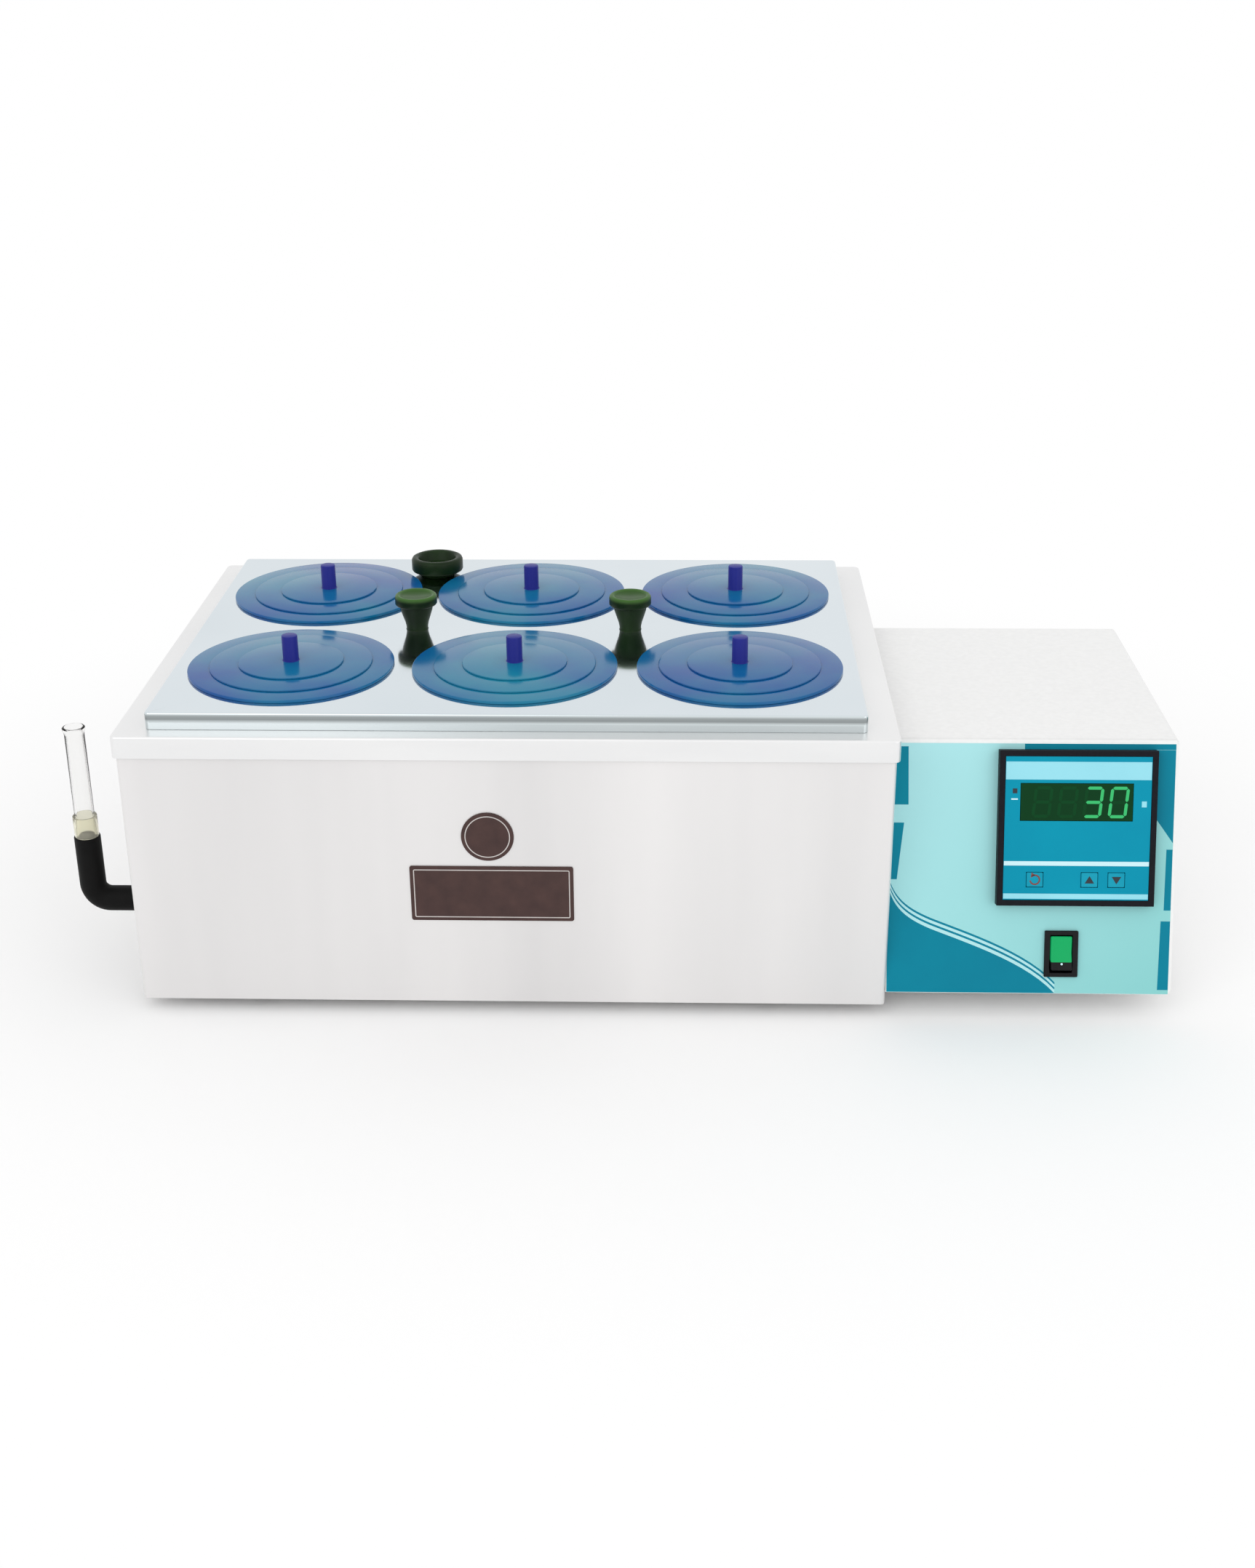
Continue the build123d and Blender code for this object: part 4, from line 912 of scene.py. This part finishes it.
film_shades = film_tree.nodes.new("ShaderNodeValToRGB")
film_shades.color_ramp.elements[0].color = (0.24, 0.60, 0.59, 1.0)
film_shades.color_ramp.elements[1].color = (0.42, 0.77, 0.80, 1.0)
film_tree.links.new(film_place.outputs["Object"], film_turn.inputs["Vector"])
film_tree.links.new(film_turn.outputs["Vector"], film_fade.inputs["Vector"])
film_tree.links.new(film_fade.outputs["Fac"], film_shades.inputs["Fac"])
film_tree.links.new(film_shades.outputs["Color"], film_shader.inputs["Base Color"])
film_shader.inputs["Roughness"].default_value = 0.4
film_shader.inputs["Specular IOR Level"].default_value = 0.2
dress("panel_overlay", film)
overlay_low, overlay_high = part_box("panel_overlay")
film_face = 0.4 * mm
ink_thickness = 0.04 * mm


def ink(name, outline, height, material, slot, thickness=ink_thickness, body="bath"):
    """A printed field: its outline in panel measure, filled, thickened and laid on the panel."""
    bpy.ops.object.select_all(action="DESELECT")
    mesh = bpy.data.meshes.new(name)
    mesh.from_pydata([(across, up, height) for across, up in outline], [], [range(len(outline))])
    piece = bpy.data.objects.new(name, mesh)
    bpy.context.scene.collection.objects.link(piece)
    bpy.context.view_layer.objects.active = piece
    piece.select_set(True)
    bpy.ops.object.mode_set(mode="EDIT")
    bpy.ops.mesh.select_all(action="SELECT")
    bpy.ops.mesh.extrude_region_move(TRANSFORM_OT_translate={"value": (0, 0, thickness)})
    bpy.ops.mesh.select_all(action="SELECT")
    bpy.ops.mesh.normals_make_consistent(inside=False)
    bpy.ops.object.mode_set(mode="OBJECT")
    piece.data.transform(panel)
    return fit(piece, name, body, material, slot)


def bar(name, left, right, bottom, top, height, material, slot):
    """A printed rectangle, given by its edges in panel measure."""
    corners = [(left, bottom), (right, bottom), (right, top), (left, top)]
    ink(name, corners, height, material, slot)


deep_teal = surface(
    "deep_teal_ink",
    (0.0, 0.225, 0.325),
    (0.0, 0.195, 0.295),
    (20, 20, 20),
    (0.4, 0.5),
    sockets={"Specular IOR Level": 0.12},
)
pale_line = surface(
    "pale_teal_line",
    (0.46, 0.78, 0.80),
    (0.42, 0.74, 0.77),
    (20, 20, 20),
    (0.4, 0.5),
    sockets={"Specular IOR Level": 0.12},
)
print_margin = 0.05 * mm
panel_left = overlay_low.x - box_low.x + print_margin
panel_right = overlay_high.x - box_low.x - print_margin
panel_foot = 0.5 * mm
panel_head = panel_foot + (overlay_high.z - overlay_low.z) / math.cos(recline) - 0.3 * mm
sweep_steps = 14
sweep_top = (0.45 * mm, 67.0 * mm)
sweep_waist = (26.7 * mm, 40.6 * mm)
sweep_end = (104.2 * mm, panel_foot)
upper_bend = (sweep_top, (4.0 * mm, 52.0 * mm), (14.0 * mm, 46.0 * mm), sweep_waist)
lower_bend = (sweep_waist, (50.0 * mm, 31.5 * mm), (86.0 * mm, 20.0 * mm), sweep_end)
sweep = interpolate_bezier(*upper_bend, sweep_steps)
sweep += interpolate_bezier(*lower_bend, sweep_steps)[1:]
ink(
    "sweep_field",
    [(point.x, point.y) for point in sweep] + [(panel_left, panel_foot)],
    film_face,
    deep_teal,
    "panel_film",
)
for name, low_side, high_side, material in (
    ("sweep_pale_line_lower", 0.0, 2.2, pale_line),
    ("sweep_deep_line_lower", 2.2, 3.6, deep_teal),
    ("sweep_pale_line_upper", 3.6, 5.4, pale_line),
    ("sweep_deep_line_upper", 5.4, 6.8, deep_teal),
):
    lower = [(point.x, point.y + low_side * mm) for point in sweep]
    upper = [(point.x, point.y + high_side * mm) for point in sweep]
    ink(name, lower + upper[::-1], film_face, material, "panel_film")
band_left = 82.2 * mm
band_height = 3.4 * mm
for name, outline in (
    ("left_bar_upper", ((0.45, 118.0), (12.0, 118.0), (11.4, 154.0), (0.45, 154.0))),
    ("left_bar_lower", ((0.45, 71.4), (5.6, 71.4), (9.5, 106.8), (0.45, 106.8))),
    ("right_block", ((162.4, 111.2), (174.0, 95.0), (174.0, 152.4), (162.4, 152.4))),
    ("right_bar_upper", ((169.8, 53.0), (174.0, 53.0), (174.0, 91.0), (170.2, 91.0))),
    ("right_bar_lower", ((167.4, 3.0), (174.0, 3.0), (174.0, 46.2), (168.2, 46.2))),
):
    corners = [(across * mm, up * mm) for across, up in outline]
    ink(name, corners, film_face, deep_teal, "panel_film")
bar(
    "top_band",
    band_left,
    panel_right,
    panel_head - band_height,
    panel_head,
    film_face,
    deep_teal,
    "panel_film",
)


# Controller: a square moulded case with a printed teal face, a dark display window with lit
# digits, and three keys. What is printed on the face is placed from the bezel's top left corner.
def panel_centre(node):
    """A panel-mounted solid's centre in panel measure."""
    low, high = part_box(node)
    return panel.inverted() @ ((low + high) / 2)


case_plastic = surface(
    "controller_case_plastic",
    (0.006, 0.006, 0.010),
    (0.003, 0.003, 0.006),
    (400, 400, 400),
    (0.45, 0.6),
    0.12,
    sockets={"Specular IOR Level": 0.15},
)
eased("controller_case", 0.5 * mm, "controller_case_moulding", "bath", case_plastic, "case_plastic")
face_teal = surface(
    "controller_face_teal",
    (0.0, 0.300, 0.435),
    (0.0, 0.255, 0.39),
    (14, 14, 14),
    (0.4, 0.5),
    sockets={"Specular IOR Level": 0.1},
)
dress("controller_faceplate", face_teal)
face_centre = panel_centre("controller_faceplate")
face_height = face_centre.z + 0.4 * mm
bezel_half = 48 * mm
bezel_left = face_centre.x - bezel_half
bezel_top = face_centre.y + bezel_half
strip_pale = surface(
    "face_pale_strip", (0.30, 0.72, 0.82), (0.26, 0.66, 0.77), (14, 14, 14), (0.25, 0.35)
)
strip_white = surface(
    "face_white_line", (0.60, 0.85, 0.90), (0.55, 0.80, 0.86), (14, 14, 14), (0.25, 0.35)
)
dark_print = surface(
    "dark_print", (0.012, 0.02, 0.03), (0.008, 0.014, 0.022), (30, 30, 30), (0.3, 0.4)
)
for name, left, right, top, bottom, material in (
    ("face_title_strip", 3.9, 92.1, 6.9, 17.9, strip_pale),
    ("face_key_line", 3.9, 92.1, 68.3, 71.0, strip_white),
    ("face_foot_line", 3.9, 92.1, 88.4, 91.6, strip_pale),
    ("output_mark", 8.2, 11.0, 23.4, 26.4, dark_print),
    ("output_dash", 7.4, 11.4, 29.5, 30.4, strip_white),
    ("unit_dash", 86.6, 89.6, 31.0, 34.6, strip_pale),
):
    bar(
        name,
        bezel_left + left * mm,
        bezel_left + right * mm,
        bezel_top - bottom * mm,
        bezel_top - top * mm,
        face_height,
        material,
        "face_film",
    )

window_tint = surface(
    "display_tint",
    (0.001, 0.050, 0.012),
    (0.001, 0.035, 0.008),
    (8, 8, 8),
    (0.3, 0.4),
    sockets={"Specular IOR Level": 0.1},
)
dress("display_window", window_tint)
window_centre = panel_centre("display_window")


def lit(name, colour, strength):
    """A glowing plastic: the same colour lit from behind."""
    material = bpy.data.materials.new(name)
    material.use_nodes = True
    shader = material.node_tree.nodes["Principled BSDF"]
    shader.inputs["Base Color"].default_value = (*colour, 1.0)
    shader.inputs["Emission Color"].default_value = (*colour, 1.0)
    shader.inputs["Emission Strength"].default_value = strength
    shader.inputs["Roughness"].default_value = 0.3
    return material


digit_green = lit("lit_segment", (0.01, 0.33, 0.09), 0.45)
digit_ghost = surface(
    "unlit_segment",
    (0.001, 0.056, 0.013),
    (0.001, 0.048, 0.011),
    (20, 20, 20),
    (0.3, 0.4),
    sockets={"Specular IOR Level": 0.1},
)
digit_width = 9.5 * mm
digit_height = 17.5 * mm
digit_pitch = 15.4 * mm
segment_width = 1.9 * mm
segment_gap = 0.25 * mm
digit_slant = 0.10
segment_ends = {
    "a": ((0, 1), (1, 1)),
    "b": ((1, 0.5), (1, 1)),
    "c": ((1, 0), (1, 0.5)),
    "d": ((0, 0), (1, 0)),
    "e": ((0, 0), (0, 0.5)),
    "f": ((0, 0.5), (0, 1)),
    "g": ((0, 0.5), (1, 0.5)),
}


def segment(name, start, end, left, foot, material):
    """One bar of a digit: a long hexagon that leans with the digit."""
    reach = Vector(((end[0] - start[0]) * digit_width, (end[1] - start[1]) * digit_height))
    along = reach.normalized()
    across = Vector((-along.y, along.x)) * segment_width / 2
    first = Vector((start[0] * digit_width, start[1] * digit_height)) + along * segment_gap
    last = first + reach - 2 * along * segment_gap
    shoulder = along * segment_width / 2
    corners = [
        first,
        first + shoulder - across,
        last - shoulder - across,
        last,
        last - shoulder + across,
        first + shoulder + across,
    ]
    outline = [(left + corner.x + digit_slant * corner.y, foot + corner.y) for corner in corners]
    ink(name, outline, face_height, material, "display_tint")


digit_foot = window_centre.y - digit_height / 2
last_digit_left = bezel_left + 67.0 * mm
for position, lit_segments in enumerate(("", "", "abcdg", "abcdef")):
    left = last_digit_left - (3 - position) * digit_pitch
    for key, (start, end) in segment_ends.items():
        material = digit_green if key in lit_segments else digit_ghost
        segment(f"digit_{position + 1}_{key}", start, end, left, digit_foot, material)

key_patch = surface(
    "key_membrane",
    (0.010, 0.33, 0.46),
    (0.004, 0.29, 0.42),
    (40, 40, 40),
    (0.4, 0.5),
    sockets={"Specular IOR Level": 0.1},
)
key_red = surface(
    "key_mark_red", (0.20, 0.055, 0.045), (0.16, 0.04, 0.035), (40, 40, 40), (0.35, 0.5)
)
arc_turns = [math.radians(130 - 30 * step) for step in range(11)]
set_arc = [(3.4 * math.cos(turn), 3.4 * math.sin(turn)) for turn in arc_turns]
set_arc += [(2.4 * math.cos(turn), 2.4 * math.sin(turn)) for turn in arc_turns[::-1]]
set_arrow = [(-2.5, 1.2), (0.3, 2.8), (-2.0, 4.6)]
up_arrow = [(-2.9, -2.1), (2.9, -2.1), (0.0, 2.5)]
down_arrow = [(2.9, 2.1), (-2.9, 2.1), (0.0, -2.5)]
mark_rise = 1.15 * mm
for key, slot, marks in (
    ("button_set", "key_red", (("set_mark_arc", set_arc), ("set_mark_arrow", set_arrow))),
    ("button_up", "key_dark", (("button_up_mark", up_arrow),)),
    ("button_down", "key_dark", (("button_down_mark", down_arrow),)),
):
    eased(key, 0.6 * mm, f"{key}_cap", key, key_patch, slot)
    centre = panel_centre(key)
    mark_ink = key_red if key == "button_set" else dark_print
    for name, outline in marks:
        corners = [(centre.x + across * mm, centre.y + up * mm) for across, up in outline]
        ink(name, corners, centre.z + mark_rise, mark_ink, slot, body=key)


# Mains switch: a black snap-in frame round a rocker whose green upper part glows when the bath is
# on. The rocker's lower part is painted near black as shade and does not glow; it has a white dot.
switch_black = surface(
    "switch_frame_plastic",
    (0.005, 0.005, 0.006),
    (0.003, 0.003, 0.004),
    (300, 300, 300),
    (0.35, 0.45),
    0.05,
    sockets={"Specular IOR Level": 0.2},
)
eased("switch_frame", 0.7 * mm, "rocker_frame", "bath", switch_black, "switch_black")
rocker_glow = lit("green_rocker", (0.001, 0.26, 0.075), 0.55)
rocker_tilt = math.radians(-19.8)
rocker_middle = panel_centre("switch_frame")
rocker_toe_drop = 9.6 * mm
rocker_toe_rise = 5.85 * mm
rocker_face = (
    panel
    @ Matrix.Translation((rocker_middle.x, rocker_middle.y - rocker_toe_drop, rocker_toe_rise))
    @ Matrix.Rotation(rocker_tilt, 4, "X")
)
# Painted shade: the rocker's lower 4.4 mm is painted near black, and its glow is cut off there.
rocker_shaded_foot = 4.4 * mm
shaded_foot_blur = 0.1 * mm
shaded_foot_edge = (rocker_face @ Vector((0.0, rocker_shaded_foot, 0.0))).z
rocker_tree, rocker_shader, rocker_above_painted_shade = by_height(
    rocker_glow, shaded_foot_edge - shaded_foot_blur, shaded_foot_edge + shaded_foot_blur
)
rocker_shader.inputs["Specular IOR Level"].default_value = 0.2
rocker_painted_shade = rocker_tree.nodes.new("ShaderNodeMix")
rocker_painted_shade.data_type = "RGBA"
rocker_painted_shade.inputs["A"].default_value = (0.004, 0.004, 0.005, 1.0)
rocker_painted_shade.inputs["B"].default_value = rocker_shader.inputs["Base Color"].default_value
rocker_power = rocker_tree.nodes.new("ShaderNodeMath")
rocker_power.operation = "MULTIPLY"
rocker_power.inputs[1].default_value = rocker_shader.inputs["Emission Strength"].default_value
rocker_tree.links.new(rocker_above_painted_shade, rocker_painted_shade.inputs["Factor"])
rocker_tree.links.new(rocker_above_painted_shade, rocker_power.inputs[0])
rocker_tree.links.new(rocker_painted_shade.outputs["Result"], rocker_shader.inputs["Base Color"])
rocker_tree.links.new(rocker_power.outputs["Value"], rocker_shader.inputs["Emission Strength"])
eased("switch_rocker", 0.8 * mm, "green_rocker", "switch_rocker", rocker_glow, "rocker_green")
dot_radius = 0.7 * mm
dot_up = 3.4 * mm
dot_thickness = 0.1 * mm
dot_turns = [math.radians(30 * step) for step in range(12)]
dot_outline = [
    (dot_radius * math.cos(turn), dot_up + dot_radius * math.sin(turn)) for turn in dot_turns
]
white_dot = ink(
    "rocker_white_dot",
    dot_outline,
    0.0,
    strip_white,
    "rocker_green",
    dot_thickness,
    "switch_rocker",
)
white_dot.data.transform(rocker_face @ panel.inverted())
